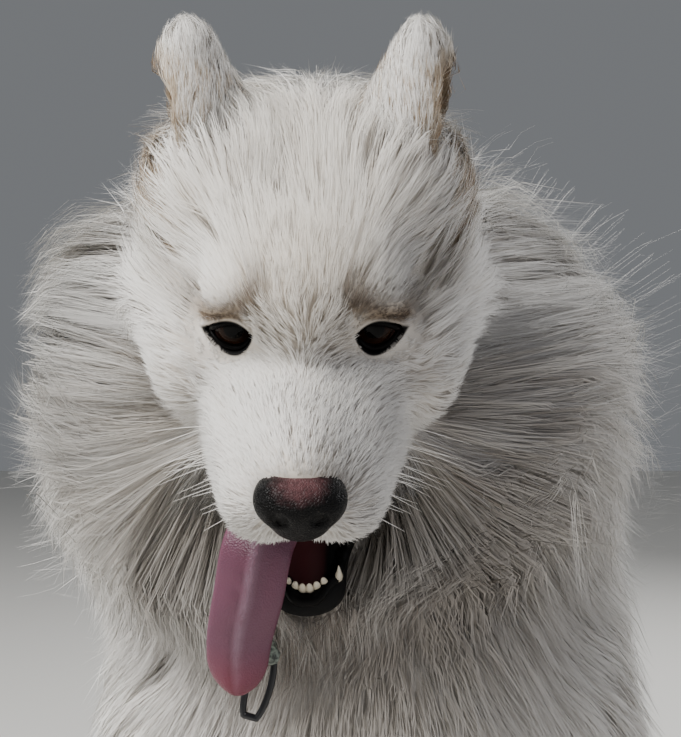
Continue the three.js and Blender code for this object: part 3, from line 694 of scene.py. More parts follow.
def alongMane(p):
    spread = ramp(inFrontOfMask(p) / mm, -90, 90)[:, None]
    out = unit((p - np.array(eyeMiddle)) * (1, 0, 1) + (0, 0, 30 * mm))
    return out * 1.3 * spread + np.array((0.05, 0.5, -0.8)) + np.array((0, 0, 0.35)) * spread


headTurn = np.array(headFrame)[:3, :3]


def alongHead(p):
    x, y, z = inHead(p).T
    one = np.ones_like(x)
    cheek = np.stack([x / 45, one, -0.35 * one], 1)
    crown = np.stack([x / 60, 0.6 * one, one], 1)
    bridge = np.stack([x / 60, one, 0.15 * one], 1)
    way = cheek + (crown - cheek) * ramp(z, -6, 20)[:, None]
    way = way + (bridge - way) * ramp(-y, 8, 20)[:, None] * ramp(z, -40, 20)[:, None]
    return way @ headTurn.T


def alongFace(p):  # hanging on the lower jaw
    jaw = onJaw(p)[:, None]
    return alongHead(p) * (1 - jaw) + np.array(hanging) * jaw


hanging = (0, 0.35, -0.9)
lies = {  # which way the hair lies, from its roots to its tips; all other hair hangs
    ("thigh", "shank"): (0, 0.6, -0.8),
    ("forearm", "elbow"): (0, 0.35, -0.93),
    ("paw",): (0, -0.8, -0.5),
    ("chest",): (0, 0.1, -1),
    ("throat",): (0, 0.4, -0.92),
    ("ear",): np.array((0, 0.2, 1)) @ headTurn.T,
    ("mane",): alongMane,
    ("tail", "tailRoot"): alongTail,
    ("ruff",): lambda p: alongMane(p) + alongHead(p),
    ("face", "brow", "crown", "cheek", "lid"): alongFace,
}


def lieAt(p, tags):
    way = np.tile(np.array(hanging), (len(p), 1))
    for names, lie in lies.items():
        here = np.isin(tags, names)
        way[here] = lie(p[here]) if callable(lie) else lie
    return unit(way)


hairs = {  # tufts for each square centimetre of skin, hairs in a tuft, mm across a hair and across a tuft
    "face": (70, 3, 0.5, 1.8), "lid": (60, 3, 0.4, 1), "brow": (22, 6, 0.42, 3), "crown": (10, 8, 0.46, 5),
    "cheek": (11, 8, 0.44, 5), "ruff": (7.5, 9, 0.48, 7), "mane": (3.5, 11, 0.52, 10),
    "throat": (4.6, 10, 0.56, 9), "chest": (2.2, 10, 0.8, 11), "back": (0.9, 8, 1.6, 14),
    "belly": (0.7, 7, 1.7, 12), "rump": (0.8, 8, 1.7, 14), "thigh": (0.9, 7, 1.7, 12),
    "shank": (2.4, 5, 1.5, 7), "elbow": (1.8, 7, 1.4, 9), "forearm": (3.6, 4, 1.2, 5), "paw": (9, 3, 1.1, 3),
    "tailRoot": (1.6, 7, 1.5, 9), "tail": (1.8, 8, 1.4, 11), "ear": (54, 3, 0.45, 2),
}
run = {"share": 1.3, "extra": 4, "most": 68}  # how far a hair runs, by the coat's depth and in mm
shortHaired = ("face", "lid", "ear", "paw", "forearm")
heightSteps = {"short": (0, 0.7, 1), "long": (0, 0.5, 0.82, 1)}
wool = {"low": 0.42, "high": 0.77, "under": 2.5, "soften": 9, "voxel": 7}  # of the coat's depth, then mm
lipWidth = {"above": 1, "below": 14, "side": 4}  # mm of bare black skin beside the mouth


def onJaw(p):
    return smooth((skinOf(headMuscles, p) - skinOf(jawMuscles, p)) / (4 * mm))


def blackBelow(p):  # widest in front
    front = ramp(-insideFrame(jawFrame, p)[:, 1], 12, 18)
    return (lipWidth["side"] + (lipWidth["below"] - lipWidth["side"]) * front) * onJaw(p)


def clearing(p):
    # how far a place is from the bare ones: the lids' edges, the nose, the mouth and the soles
    lidEdge = np.where(nearEyes(p) < 22 * mm, lidEdges(p) - 1.2 * mm, 1)
    nose = fromBall(inHead(p), (0, -86, -28), (16, 13.5, 12.5)) * 13 * mm
    mouth = skinOf(mouthMuscles, p) - 3.2 * mm - blackBelow(p) * mm
    return np.minimum.reduce([lidEdge, nose, mouth, p[:, 2] - 2 * mm])


def woolShare(coat):
    return wool["low"] + (wool["high"] - wool["low"]) * ramp(coat / mm, 8, 34)


def swirl(p, size, seed):
    # three smooth random values that change over a few centimetres
    waves = np.random.default_rng(seed)
    total = np.zeros((len(p), 3))
    for _ in range(5):
        k = unit(waves.normal(size=(3, 3))) * 2 * np.pi / (size * mm) * waves.uniform(0.6, 1.6)
        total += np.sin(p @ k + waves.uniform(0, 2 * np.pi, 3))
    return total / 2.2


def longHaired(coat):
    return ramp(coat / mm, 8, 5)


# Wool: the dense soft layer that the long hair stands on

def woolCover(p):
    return smooth(clearing(p) / (wool["soften"] * mm)) * longHaired(coatAt(p))


woolPiece = applied(remesh(lumpOf("undercoat", headAll + bodyCore + bodyRest), wool["voxel"]))
settle(woolPiece, domeSkin, 4, 3 * mm)
covered = woolCover(verticesOf(woolPiece.data))


def trimmed(bm):  # none where the coat is short
    bmesh.ops.triangulate(bm, faces=bm.faces)
    bare = [f for f in bm.faces if all(covered[v.index] < 0.02 for v in f.verts)]
    bmesh.ops.delete(bm, geom=bare, context="FACES")


edited(woolPiece, trimmed)
woolRoots = verticesOf(woolPiece.data)
depth, covered = coatAt(woolRoots), woolCover(woolRoots)
height = covered * woolShare(depth) * depth * (1 + 0.03 * swirl(woolRoots, 30, 5)[:, 0])
height -= (1 - covered) * wool["under"] * mm
p = woolRoots.copy()
for _ in range(5):
    n = unit(slope(domeSkin, p, 6 * mm))
    p = p + n * np.clip(height - domeSkin(p), -9 * mm, 9 * mm)[:, None]
p[:, 2] = np.maximum(p[:, 2], 0.4 * mm)
woolPiece.data.vertices.foreach_set("co", p.ravel())
smoothed(woolPiece)
woolTips = p
print("undercoat", len(woolPiece.data.polygons))


def cornersOf(mesh):
    corners = np.empty(len(mesh.loops), int)
    mesh.loops.foreach_get("vertex_index", corners)
    return corners.reshape(-1, 3)


def areaOf(triangles):
    crossed = np.cross(triangles[:, 1] - triangles[:, 0], triangles[:, 2] - triangles[:, 0])
    return np.linalg.norm(crossed, axis=1) / 2


def scattered(surface, roots, density):
    # random places on a mesh, with the places on the skin that they belong to
    counts = draw.poisson(areaOf(surface) * density * 1e4)
    face = np.repeat(np.arange(len(counts)), counts)
    weights = draw.dirichlet((1, 1, 1), len(face))[:, :, None]
    return (surface[face] * weights).sum(1), (roots[face] * weights).sum(1)


def densityOf(tags):
    return np.array([hairs[t][0] for t in tags])


skinCorners = cornersOf(skin.data)
skinTriangles = verticesOf(skin.data)[skinCorners]
centres = skinTriangles.mean(1)
skinTags = tagAt(centres)
skinTags[onEar(centres)] = "ear"
bare = clearing(centres) < 0
short = np.where(skinTags == "ear", 1, 1 - longHaired(coatAt(centres)))
short = np.where((domeSkin(centres) > 3 * mm) & (skinTags != "ear"), 0, short)  # an ear's buried root
shortFrom, shortRoots = scattered(skinTriangles, skinTriangles, densityOf(skinTags) * short * ~bare)

woolCorners = cornersOf(woolPiece.data)
centres = woolRoots[woolCorners].mean(1)
density = densityOf(tagAt(centres)) * longHaired(coatAt(centres)) * (clearing(centres) > 0)
longFrom, longRoots = scattered(woolTips[woolCorners], woolRoots[woolCorners], density)

starts = np.concatenate([shortFrom, longFrom])
roots = np.concatenate([shortRoots, longRoots])
rootTags = tagAt(roots)
rootTags[: len(shortRoots)][onEar(shortRoots)] = "ear"
print("tufts", len(shortRoots), len(longRoots))

# each root's place on the skin's unwrap
uvs = np.empty(len(skin.data.loops) * 2)
skin.data.uv_layers[bakeMap].data.foreach_get("uv", uvs)
faceUvs = uvs.reshape(-1, 3, 2).mean(1)
tree = BVHTree.FromPolygons([tuple(v) for v in verticesOf(skin.data)], skinCorners.tolist())


def placeOnMap(points):
    return faceUvs[[tree.find_nearest(point)[2] for point in points.tolist()]]


rootUvs = placeOnMap(roots)
woolUvs = placeOnMap(woolRoots[woolCorners].mean(1))
patch = 0.003
layer = woolPiece.data.uv_layers.new(name=bakeMap)
corner = np.array(((0, 0), (1, 0), (0, 1))) * patch - patch / 3
layer.data.foreach_set("uv", (woolUvs[:, None] + corner).ravel())
print("roots placed on the map")


def flattened(way, n):  # the part of a direction that runs along the surface
    return unit(way - n * (way * n).sum(1)[:, None])


loose = {"random": 0.11, "swirl": 0.18, "calm": 0.6, "curl": 0.26, "beside": 0.35, "height": 1.03}  # shares


def stationsOf(starts, tags, steps):
    # where each tuft's middle line passes: it rises to the coat's depth while it runs along the lie
    ears = tags[0] == "ear"
    surface = (lambda q: skinOf(earMuscles, q)) if ears else domeSkin
    depthAt = (lambda q: np.full(len(q), coatDepth["ear"] * mm)) if ears else coatAt
    p = starts.copy()
    stations, normals, ways = [], [], []
    calm = np.where(np.isin(tags, ("throat", "chest", "mane")), loose["calm"], 1)[:, None]
    curled = np.where(np.isin(tags, ("crown", "brow", "cheek")), loose["curl"], 0)[:, None]
    lean = draw.normal(0, loose["random"], (len(p), 3)) + loose["swirl"] * swirl(p, 55, 3)
    lean = lean * calm + curled * swirl(p, 15, 6)
    reach = loose["height"] + draw.normal(0, 0.05, len(p)) + 0.04 * swirl(p, 40, 4)[:, 0]
    ahead = np.minimum(run["share"] * depthAt(p) + run["extra"] * mm, run["most"] * mm)
    least, more = loose["beside"], 1 - loose["beside"]
    edge = 1 if ears else least + more * smooth(clearing(p) / (12 * mm))  # shorter beside bare skin
    ahead = ahead * (1 + draw.normal(0, 0.12, len(p))) * (least + more * besideEyes(p)) * edge
    reach = reach * edge
    for step in steps:
        low = surface(p)
        n = unit(slope(surface, p, 5 * mm, low))
        depth = depthAt(p)
        if step == 0:
            sunk = np.clip(low / depth, 0, 1)
            p = p - n * mm
        else:
            p = p + n * ((sunk + (1 - sunk) * step) * depth * reach - low)[:, None]
        way = flattened(flattened(lieAt(p, tags), n) + lean, n)
        stations.append(p.copy())
        normals.append(n)
        ways.append(way)
        p = p + way * (ahead / (len(steps) - 1))[:, None]
    return np.stack(stations, 1), np.stack(normals, 1), np.stack(ways, 1), ahead


def ribbonFaces(steps):
    quads = [(2 * i, 2 * i + 1, 2 * i + 3, 2 * i + 2) for i in range(steps)]
    return [face for a, b, c, d in quads for face in ((a, b, c), (a, c, d))]


reachBeyond = {"tuft": 9, "hair": 14, "stray": 13}  # mm that each may pass the dog's measured size


def outside(lines, beyond):
    low, high = np.array(cadBox[0]) - beyond * mm, np.array(cadBox[1]) + beyond * mm
    return ((lines < low) | (lines > high)).any(axis=(1, 2))


strand = {  # shares, then radians
    "thinnest": 0.7, "thicker": 0.6, "tips": 0.35, "open": 0.5, "wander": 0.055, "shorter": 0.35,
    "taper": {"short": (0.9, 0.8), "long": (0.9, 0.9, 0.55)}, "round": 0.4, "roll": 0.6,
}
lowest = 0.6 * mm  # of a hair, over the floor


def nearBare(tip):  # in the mouth or over an eye
    overEye = (clearing(tip) < 0) & (nearEyes(tip) < 22 * mm)
    return (skinOf(mouthMuscles, tip) < 2.5 * mm) | overEye


def hairMesh(name, chosen):
    # one mesh of flat tapering hairs: each tuft's hairs share its line and spread round it
    count = np.array([hairs[t][1] for t in rootTags[chosen]], int)
    tuft = np.repeat(np.arange(len(chosen)), count)
    kind = "short" if rootTags[chosen[0]] in shortHaired else "long"
    laid = stationsOf(starts[chosen], rootTags[chosen], heightSteps[kind])
    astray = outside(laid[0], reachBeyond["tuft"]) | nearBare(laid[0][:, -1])
    tuft = tuft[~astray[tuft]]
    tags, count = rootTags[chosen][tuft], len(tuft)
    line, normal, way, ahead = (a[tuft] for a in laid)
    side = np.cross(way, normal)
    width, spread = (np.array([hairs[t][k] for t in tags]) * mm for k in (2, 3))
    width = width * (strand["thinnest"] + strand["thicker"] * draw.random(count))
    angle = draw.random(count) * 2 * np.pi
    far = np.sqrt(draw.random(count)) * spread / 2
    u, v = far * np.cos(angle), far * np.sin(angle)
    tipSpread = strand["tips"] + strand["open"] * draw.random(count)  # hairs draw together at the tips
    wander = draw.normal(0, strand["wander"], (count, 3)) * ahead[:, None]
    length = 1 - strand["shorter"] * draw.random(count) ** 2
    rows, steps = np.arange(count), line.shape[1]
    points = []
    for i in range(steps):
        t = length * i
        low = np.minimum(t.astype(int), steps - 2)
        part = (t - low)[:, None]
        at = line[rows, low] * (1 - part) + line[rows, low + 1] * part
        share = i / (steps - 1)
        close = 1 - (1 - tipSpread) * share
        at = at + side[:, i] * (u * close)[:, None] + way[:, i] * (v * close)[:, None]
        points.append(at + wander * share * share)
    points = np.stack(points, 1)
    roll = draw.normal(0, strand["roll"], count)
    across = side * np.cos(roll)[:, None, None] + normal * np.sin(roll)[:, None, None]
    edge = across[:, :-1] * (width[:, None] * np.array(strand["taper"][kind]))[:, :, None] / 2
    ribbon = np.stack([points[:, :-1] - edge, points[:, :-1] + edge], 2).reshape(count, -1, 3)
    vertices = np.concatenate([ribbon, points[:, -1:]], 1)
    vertices[..., 2] = np.maximum(vertices[..., 2], lowest)
    each = vertices.shape[1]
    pattern = np.array(ribbonFaces(steps - 2) + [(each - 3, each - 2, each - 1)])
    facing = normal[:, :-1] * np.cos(roll)[:, None, None] - side[:, :-1] * np.sin(roll)[:, None, None]
    # a ribbon is lit as a round hair
    soft, tilt = normal[:, :-1] + strand["round"] * facing, strand["round"] * across[:, :-1]
    bent = np.stack([soft - tilt, soft + tilt], 2).reshape(count, -1, 3)
    bent = unit(np.concatenate([bent, normal[:, -1:] + 0.3 * way[:, -1:]], 1))
    kept = ~outside(vertices, reachBeyond["hair"])
    return meshOf(name, vertices[kept], pattern, chosen[tuft[kept]], bent[kept])


def meshOf(name, vertices, pattern, chosen, normals=None):
    # many like hairs in one mesh: vertices has a row for each, pattern the faces of one, chosen their roots
    count, each = vertices.shape[:2]
    faces = (np.arange(count)[:, None, None] * each + pattern).reshape(-1, 3)
    mesh = bpy.data.meshes.new(name)
    mesh.vertices.add(count * each)
    mesh.vertices.foreach_set("co", vertices.ravel())
    mesh.loops.add(faces.size)
    mesh.loops.foreach_set("vertex_index", faces.ravel().astype(np.int32))
    mesh.polygons.add(len(faces))
    mesh.polygons.foreach_set("loop_start", np.arange(0, faces.size, 3, dtype=np.int32))
    mesh.polygons.foreach_set("use_smooth", np.ones(len(faces), bool))
    mesh.update(calc_edges=True)
    if normals is not None:
        mesh.normals_split_custom_set_from_vertices(normals.reshape(-1, 3))
    along = np.arange(each) // 2 / (each // 2)
    corner = np.stack([(np.arange(each) % 2 - 0.5) * patch, (along - 0.5) * patch], 1)
    layer = mesh.uv_layers.new(name=bakeMap)
    uvs = rootUvs[chosen][:, None] + corner
    layer.data.foreach_set("uv", uvs.reshape(-1, 2)[faces.ravel()].ravel())
    addValues(mesh, "along", np.tile(along, count))
    addValues(mesh, "random", np.repeat(draw.random(count), each))
    addColours(mesh, roots[chosen], each)
    return newObject(name, mesh)


def addValues(mesh, name, values):
    mesh.attributes.new(name, "FLOAT", "POINT").data.foreach_set("value", values.astype(np.float32))


tints = {"warm": 0.15, "forehead": 0.45, "cups": 1.5, "beside": 0.75}  # shares of cream, then of biscuit
# how much each part darkens the coat: the stubble and the lip are the coat's own colour, the others painted
# shade
paintedShadeAndStainShares = {
    "stubble": 0.45, "brows": 0.95, "under": 0.3, "stop": 0.25, "lip": 0.6, "fold": 0.45, "throat": 0.65,
    "crease": 0.7,
}


def warmth(p):
    # cream on the forehead, biscuit in the ears' cups and in the hair beside them
    x, y, z = inHead(p).T
    forehead = spot((x, 34), (z - 32, 26)) * (y < 60)
    cups = smooth(1.2 - skinOf(earCups, p) / (2.5 * mm)) * ramp(-z, -112, 30)
    beside = spot((abs(x) - 64, 9), (z - 68, 20)) * ramp(-y, -90, 20)
    total = tints["warm"] + tints["forehead"] * forehead + tints["cups"] * cups + tints["beside"] * beside
    return np.clip(total, 0, 1)


def paintedShadeAndStain(p):
    # brown-grey that darkens the coat: painted shade over the eyes (over the brows partly their own brown),
    # below them, beside the bridge, behind the cheeks, in the creases over the lids and on the throat; and
    # the coat's own dark stubble over the nose and brown tint round the mouth
    x, y, z = inHead(p).T
    out = abs(x)
    arch = 22 - 0.45 * (np.clip(out, 20, 50) - 23)  # the brows fall outwards
    parts = {
        "stubble": np.exp(-np.clip(fromBall(inHead(p), (0, -84, -26), (17, 14, 11)), 0, 9) / 0.2),
        "brows": spot((z - arch, 5.5)) * ramp(out, 11, 9) * ramp(-out, -58, 16),
        "under": spot((out - 44, 10), (z + 15, 4.5)),
        "stop": spot((out - 14, 6), (z - 8, 13)),
        "lip": np.exp(-np.clip(skinOf(mouthMuscles, p), 0, 1) / (5 * mm)),
        "fold": spot((inFrontOfMask(p), 8 * mm)) * ramp(-z, 8, 22),
        # painted shadow under the head, centred towards the dog's left, away from the key light
        "throat": spot((x - 24, 62), (z + 150, 75)) * ramp(-y, -110, 50),
        "crease": lidCrease(p),
    }
    for name in ("brows", "under", "stop"):
        parts[name] = parts[name] * ramp(-y, -45, 20)
    return np.clip(sum(paintedShadeAndStainShares[name] * part for name, part in parts.items()), 0, 1)


def addColours(mesh, p, each):
    addValues(mesh, "warm", np.repeat(warmth(p), each))
    addValues(mesh, "paintedShadeAndStain", np.repeat(paintedShadeAndStain(p), each))


# Single long hairs that stand out of the ruff and the crown

stray = {  # how many are tried, mm across and along, how far out by the coat's depth, mm of their waves
    "hairs": 6000, "width": 0.26, "run": 26, "rise": 1.05, "uneven": 0.05, "wave": 2.2, "steps": 8,
    "over": 350, "fromEyes": 60, "lean": 0.22,
}
strayFrom = np.isin(rootTags, ("mane", "ruff", "crown", "cheek")) & (roots[:, 2] > stray["over"] * mm)
strayFrom = np.flatnonzero(strayFrom & (nearEyes(roots) > stray["fromEyes"] * mm))
strayFrom = strayFrom[draw.integers(0, len(strayFrom), stray["hairs"])]
outwards = unit(slope(domeSkin, roots[strayFrom], 6 * mm))
strayFrom = strayFrom[(abs(outwards[:, 1]) < 0.45) & (outwards[:, 2] > -0.3)]  # on the sides and the top


def strayHairs():
    p = starts[strayFrom] + draw.normal(0, 2 * mm, (len(strayFrom), 3))
    tags = rootTags[strayFrom]
    count, steps = len(p), stray["steps"]
    rise = stray["rise"] + stray["uneven"] * draw.normal(size=count)
    ahead = stray["run"] * mm * draw.uniform(0.5, 1.4, count)
    lean = draw.normal(0, stray["lean"], (count, 3))
    phase, turn = draw.uniform(0, 6.3, count), draw.uniform(0.5, 1.3, count)
    begin, goal = domeSkin(p), rise * coatAt(p)
    points, across = [], []
    for i in range(steps):
        low = domeSkin(p)
        n = unit(slope(domeSkin, p, 5 * mm, low))
        share = (i / (steps - 1)) ** 0.8
        p = p + n * (begin + (goal - begin) * share - low)[:, None]
        way = flattened(flattened(lieAt(p, tags), n) + lean, n)
        side = np.cross(way, n)
        sway = np.sin(phase + turn * i) * stray["wave"] * mm * i / (steps - 1)
        points.append(p + side * sway[:, None])
        across.append(unit(side + 0.5 * n * np.cos(phase)[:, None]))
        p = p + way * (ahead / (steps - 1))[:, None]
    points, across = np.stack(points, 1), np.stack(across, 1)
    kept = ~outside(points, reachBeyond["stray"])
    points, across = points[kept], across[kept]
    taper = (1 - 0.75 * np.linspace(0, 1, steps))[None, :, None] * stray["width"] * mm / 2
    vertices = np.stack([points - across * taper, points + across * taper], 2).reshape(len(points), -1, 3)
    return meshOf("strayHairs", vertices, np.array(ribbonFaces(steps - 1)), strayFrom[kept])


groups = {
    "coatFace": ("face", "lid"), "coatBrows": ("brow",), "coatEars": ("ear",), "coatCrown": ("crown",),
    "coatCheeks": ("cheek", "ruff"), "coatMane": ("mane", "throat"),
    "coatChest": ("chest", "elbow", "belly"), "coatBack": ("back", "rump"), "coatHips": ("thigh", "shank"),
    "coatFeet": ("forearm", "paw"), "coatTail": ("tail", "tailRoot"),
}
mostTriangles = 190000
coatPieces = []
for name, names in groups.items():
    chosen = np.flatnonzero(np.isin(rootTags, names))
    each = 3 if names[0] in shortHaired else 5
    per = np.array([hairs[t][1] * each for t in rootTags[chosen]])
    parts = int(np.ceil(per.sum() / mostTriangles))
    order = np.argsort(roots[chosen][:, 0]) if parts > 1 else np.arange(len(chosen))
    for i, part in enumerate(np.array_split(chosen[order], parts)):
        piece = hairMesh(name if parts == 1 else name + "ABCDEF"[i], part)
        coatPieces.append(piece)
        print(piece.name, len(piece.data.polygons))
print("coat", sum(len(piece.data.polygons) for piece in coatPieces))
coatPieces.append(strayHairs())
# the skin and the wool lie deep in the coat and take much of the roots' painted shade
for piece, places, along in ((woolPiece, woolRoots, 0.4), (skin, verticesOf(skin.data), 0.1)):
    addValues(piece.data, "along", np.full(len(places), along))
    addValues(piece.data, "random", np.full(len(places), 0.5))
    addColours(piece.data, places, 1)
p = verticesOf(skin.data)
fromMouth = skinOf(mouthMuscles, p) / mm
fromLids = lidEdges(p) / mm + 100 * (nearEyes(p) > 22 * mm)
black = lipWidth["above"] + blackBelow(p)
addValues(skin.data, "mouth", smooth(1 - (fromMouth - 1) / 2))
atMouth, atLids = smooth(1 - (fromMouth - 3 - black) / 1.5), smooth(1 - (fromLids - 0.6) / 1)
addValues(skin.data, "lip", np.maximum(atMouth, atLids))


# Materials

def linear(hexColour):
    values = [int(hexColour[i:i + 2], 16) / 255 for i in (1, 3, 5)]
    return (*[v / 12.92 if v <= 0.04045 else ((v + 0.055) / 1.055) ** 2.4 for v in values], 1)


def feed(tree, node, inputs):  # each input takes a value or the socket of another node
    for key, value in inputs.items():
        if isinstance(value, bpy.types.NodeSocket):
            tree.links.new(value, node.inputs[key])
        else:
            node.inputs[key].default_value = value


def add(tree, kind, inputs, output=0, **settings):
    node = tree.nodes.new("ShaderNode" + kind)
    for key, value in settings.items():
        setattr(node, key, value)
    feed(tree, node, inputs)
    return node.outputs[output]


perCm = 100  # a pattern's scale counts its repeats in a centimetre


def patterned(tree, kind, scale, inputs=(), **settings):
    where = add(tree, "TexCoord", {}, "Object")
    return add(tree, kind, {"Vector": where, "Scale": scale * perCm, **dict(inputs)}, **settings)


def material(name, inputs):
    made = bpy.data.materials.new(name)
    made.use_nodes = True
    tree = made.node_tree
    shader = tree.nodes["Principled BSDF"]
    feed(tree, shader, inputs(tree) if callable(inputs) else inputs)
    return made


def twoTone(tree, scale, detail, one, other):  # two colours in fine grains, and the grains themselves
    grain = patterned(tree, "TexNoise", scale, {"Detail": detail})
    mixed = add(tree, "Mix", {0: grain, 6: linear(one), 7: linear(other)}, 2, data_type="RGBA")
    return mixed, grain


def bands(ramp, stops):
    elements = ramp.node.color_ramp.elements
    for i, (at, colour) in enumerate(stops):
        stop = elements[i] if i < 2 else elements.new(at)
        stop.position = at
        stop.color = linear(colour)
    return ramp


# the brown-grey is painted shade in the folds and the coat's own stubble and brown round the mouth; the root
# colour is painted shade deep in the coat
coatLook = {
    "white": "#efeeec", "cream": "#e0d4c0", "biscuit": "#836a52", "paintedShadeAndStain": "#64564a", "root": "#b9a78f",
    "lip": "#050404", "mouth": "#3a1518",
}


def coatColour(tree):
    value = {name: add(tree, "Attribute", {}, "Fac", attribute_name=name)
             for name in ("warm", "random", "paintedShadeAndStain", "along")}
    deep = add(tree, "MapRange", {"Value": value["warm"], "From Min": 0.6, "From Max": 1})
    streaky = add(tree, "MapRange", {"Value": value["random"], "To Min": 0.25, "To Max": 1})
    tint = add(tree, "Math", {0: deep, 1: streaky}, operation="MULTIPLY")
    # painted shade deep in the coat: the root colour is strongest at a hair's root and gone seven tenths of
    # the way out
    along = add(tree, "MapRange", {"Value": value["along"], "From Min": 0, "From Max": 0.7, "To Min": 0.42,
                                   "To Max": 0})
    colour = linear(coatLook["white"])
    layers = {"cream": value["warm"], "biscuit": tint, "paintedShadeAndStain": value["paintedShadeAndStain"], "root": along}
    for name, factor in layers.items():
        colour = add(tree, "Mix", {0: factor, 6: colour, 7: linear(coatLook[name])}, 2, data_type="RGBA")
    return colour


# Guard hair: matt, white at the tips, painted darker brown-grey towards the roots as shade deep in the coat
def guardHair(tree):
    return {"Base Color": coatColour(tree), "Roughness": 0.85, "Specular IOR Level": 0.2}


# Undercoat: crimped wool, whose crimps show as a fine bumpy surface
def crimpedWool(tree):
    crimp = patterned(tree, "TexNoise", 7, {"Detail": 4})
    bump = add(tree, "Bump", {"Height": crimp, "Strength": 0.6, "Distance": 0.002})
    return {"Base Color": coatColour(tree), "Normal": bump, "Roughness": 0.9}


# Skin under the coat carries the coat's colours, with black lips and a dark red mouth
def skinUnderCoat(tree):
    colour = coatColour(tree)
    for name in ("lip", "mouth"):
        factor = add(tree, "Attribute", {}, "Fac", attribute_name=name)
        colour = add(tree, "Mix", {0: factor, 6: colour, 7: linear(coatLook[name])}, 2, data_type="RGBA")
    return {"Base Color": colour, "Roughness": 0.7, "Specular IOR Level": 0.15}


hairMaterial = material("samoyedHair", guardHair)
for piece in coatPieces:
    piece.data.materials.append(hairMaterial)
woolPiece.data.materials.append(material("samoyedWool", crimpedWool))
skin.data.materials.append(material("skinUnderCoat", skinUnderCoat))
coatPieces.append(woolPiece)

fleshNodes = [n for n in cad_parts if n.split("_")[0] not in ("eye", "nose", "tongue", "collar")]
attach(skin, "root")
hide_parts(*fleshNodes)
for piece in coatPieces:
    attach(piece, "root")


# Helpers for the small parts

def tubes(name, lines, roundness=3, closed=False):
    # round threads along lines of points, given in metres with a radius in mm for each point
    curve = bpy.data.curves.new(name, "CURVE")
    curve.dimensions = "3D"
    curve.bevel_depth = mm
    curve.bevel_resolution = roundness
    curve.use_fill_caps = True
    for points, radii in lines:
        spline = curve.splines.new("POLY")
        spline.points.add(len(points) - 1)
        for at, point, radius in zip(spline.points, points, radii):
            at.co = (*point, 1)
            at.radius = radius
        spline.use_cyclic_u = closed
    thread = newObject(name + "Line", curve)
    bpy.context.view_layer.update()
    mesh = bpy.data.meshes.new_from_object(thread.evaluated_get(bpy.context.evaluated_depsgraph_get()))
    dropped(thread)
    bpy.data.curves.remove(curve)
    return smoothed(newObject(name, mesh))


def curved(points, count):
    # a smooth line through a few points, with even steps from each to the next
    points = np.array(points, float)
    steps = np.linspace(0, len(points) - 1, count)
    low = np.clip(steps.astype(int), 0, len(points) - 2)
    t = (steps - low)[:, None]
    padded = np.concatenate([[2 * points[0] - points[1]], points, [2 * points[-1] - points[-2]]])
    a, b, c, d = (padded[low + i] for i in range(4))
    return 0.5 * (2 * b + (c - a) * t + (2 * a - 5 * b + 4 * c - d) * t**2 + (3 * b - a - 3 * c + d) * t**3)


def pointed(count, end):  # the radii of a tooth or a claw, as shares of the thickest
    return 1 - np.linspace(0, end, count) ** 1.6


def finished(piece, made, nodes=()):
    piece.data.materials.append(made)
    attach(piece, "root")
    if nodes:
        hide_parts(*nodes)


# Eyes: a dark brown iris behind a clear bulge, in black rims

gaze = {"down": 14, "out": 4}  # degrees from straight ahead
cornea = {"angle": 46, "rise": 1.3}  # degrees of the ball that bulge, mm


def eyeBall(name, s):
    bm = bmesh.new()
    out, down = math.sin(math.radians(gaze["out"])) * s, math.tan(math.radians(gaze["down"]))
    axis = Vector((out, -1, -down)).normalized()
    aim = Vector((0, 0, 1)).rotation_difference(axis).to_matrix().to_4x4()
    centre = headFrame @ (Vector(eyeAt(s)) * mm)
    bmesh.ops.create_uvsphere(bm, u_segments=64, v_segments=48, radius=dog["eyeRadius"] * mm)
    angles = []
    for v in bm.verts:
        angle = math.degrees(v.co.angle(Vector((0, 0, 1))))
        angles.append(angle)
        bulge = max(0, math.cos(math.radians(angle / cornea["angle"] * 90)))
        v.co *= 1 + cornea["rise"] / dog["eyeRadius"] * bulge
    bmesh.ops.transform(bm, matrix=Matrix.Translation(centre) @ aim, verts=bm.verts)
    ball = smoothed(fromBmesh(name, bm))
    addValues(ball.data, "angle", np.array(angles))
    return ball


# Cornea over a dark brown iris with fine dark mottling and a black pupil
def darkBrownEye(tree):
    angle = add(tree, "Attribute", {}, "Fac", attribute_name="angle")
    turn = add(tree, "Math", {0: angle, 1: 1 / 90}, operation="MULTIPLY")
    iris = bands(add(tree, "ValToRGB", {"Fac": turn}), (
        (0, "#020202"), (0.23, "#020202"), (0.27, "#1c0f08"), (0.44, "#27160c"), (0.52, "#0a0605"),
        (0.6, "#2a1c19"),
    ))
    streaks = patterned(tree, "TexNoise", 9, {"Detail": 3})
    faint = add(tree, "MapRange", {"Value": streaks, "To Max": 0.4})
    colour = add(tree, "Mix", {0: faint, 6: iris, 7: linear("#050303")}, 2, data_type="RGBA")
    return {"Base Color": colour, "Roughness": 0.3, "Specular IOR Level": 0, "Coat Weight": 0.3,
            "Coat Roughness": 0.04, "Coat IOR": 1.376}


eyeMaterial = material("darkBrownEye", darkBrownEye)
for name, s, node in (("eyeBallLeft", 1, "eye_left"), ("eyeBallRight", -1, "eye_right")):
    finished(eyeBall(name, s), eyeMaterial, [node])


# Bare black skin of the eye rims and lips: leathery and a little moist
def blackSkin(tree):
    colour, grain = twoTone(tree, 12, 3, "#030303", "#0a0808")
    bump = add(tree, "Bump", {"Height": grain, "Strength": 0.35, "Distance": 0.0004})
    return {"Base Color": colour, "Normal": bump, "Roughness": 0.42, "Specular IOR Level": 0.06}


blackMaterial = material("blackSkin", blackSkin)
rim = {"out": 0.9, "thick": 1.25, "corner": 5, "drop": 1.6}  # mm: off the ball, radius, tear duct's point


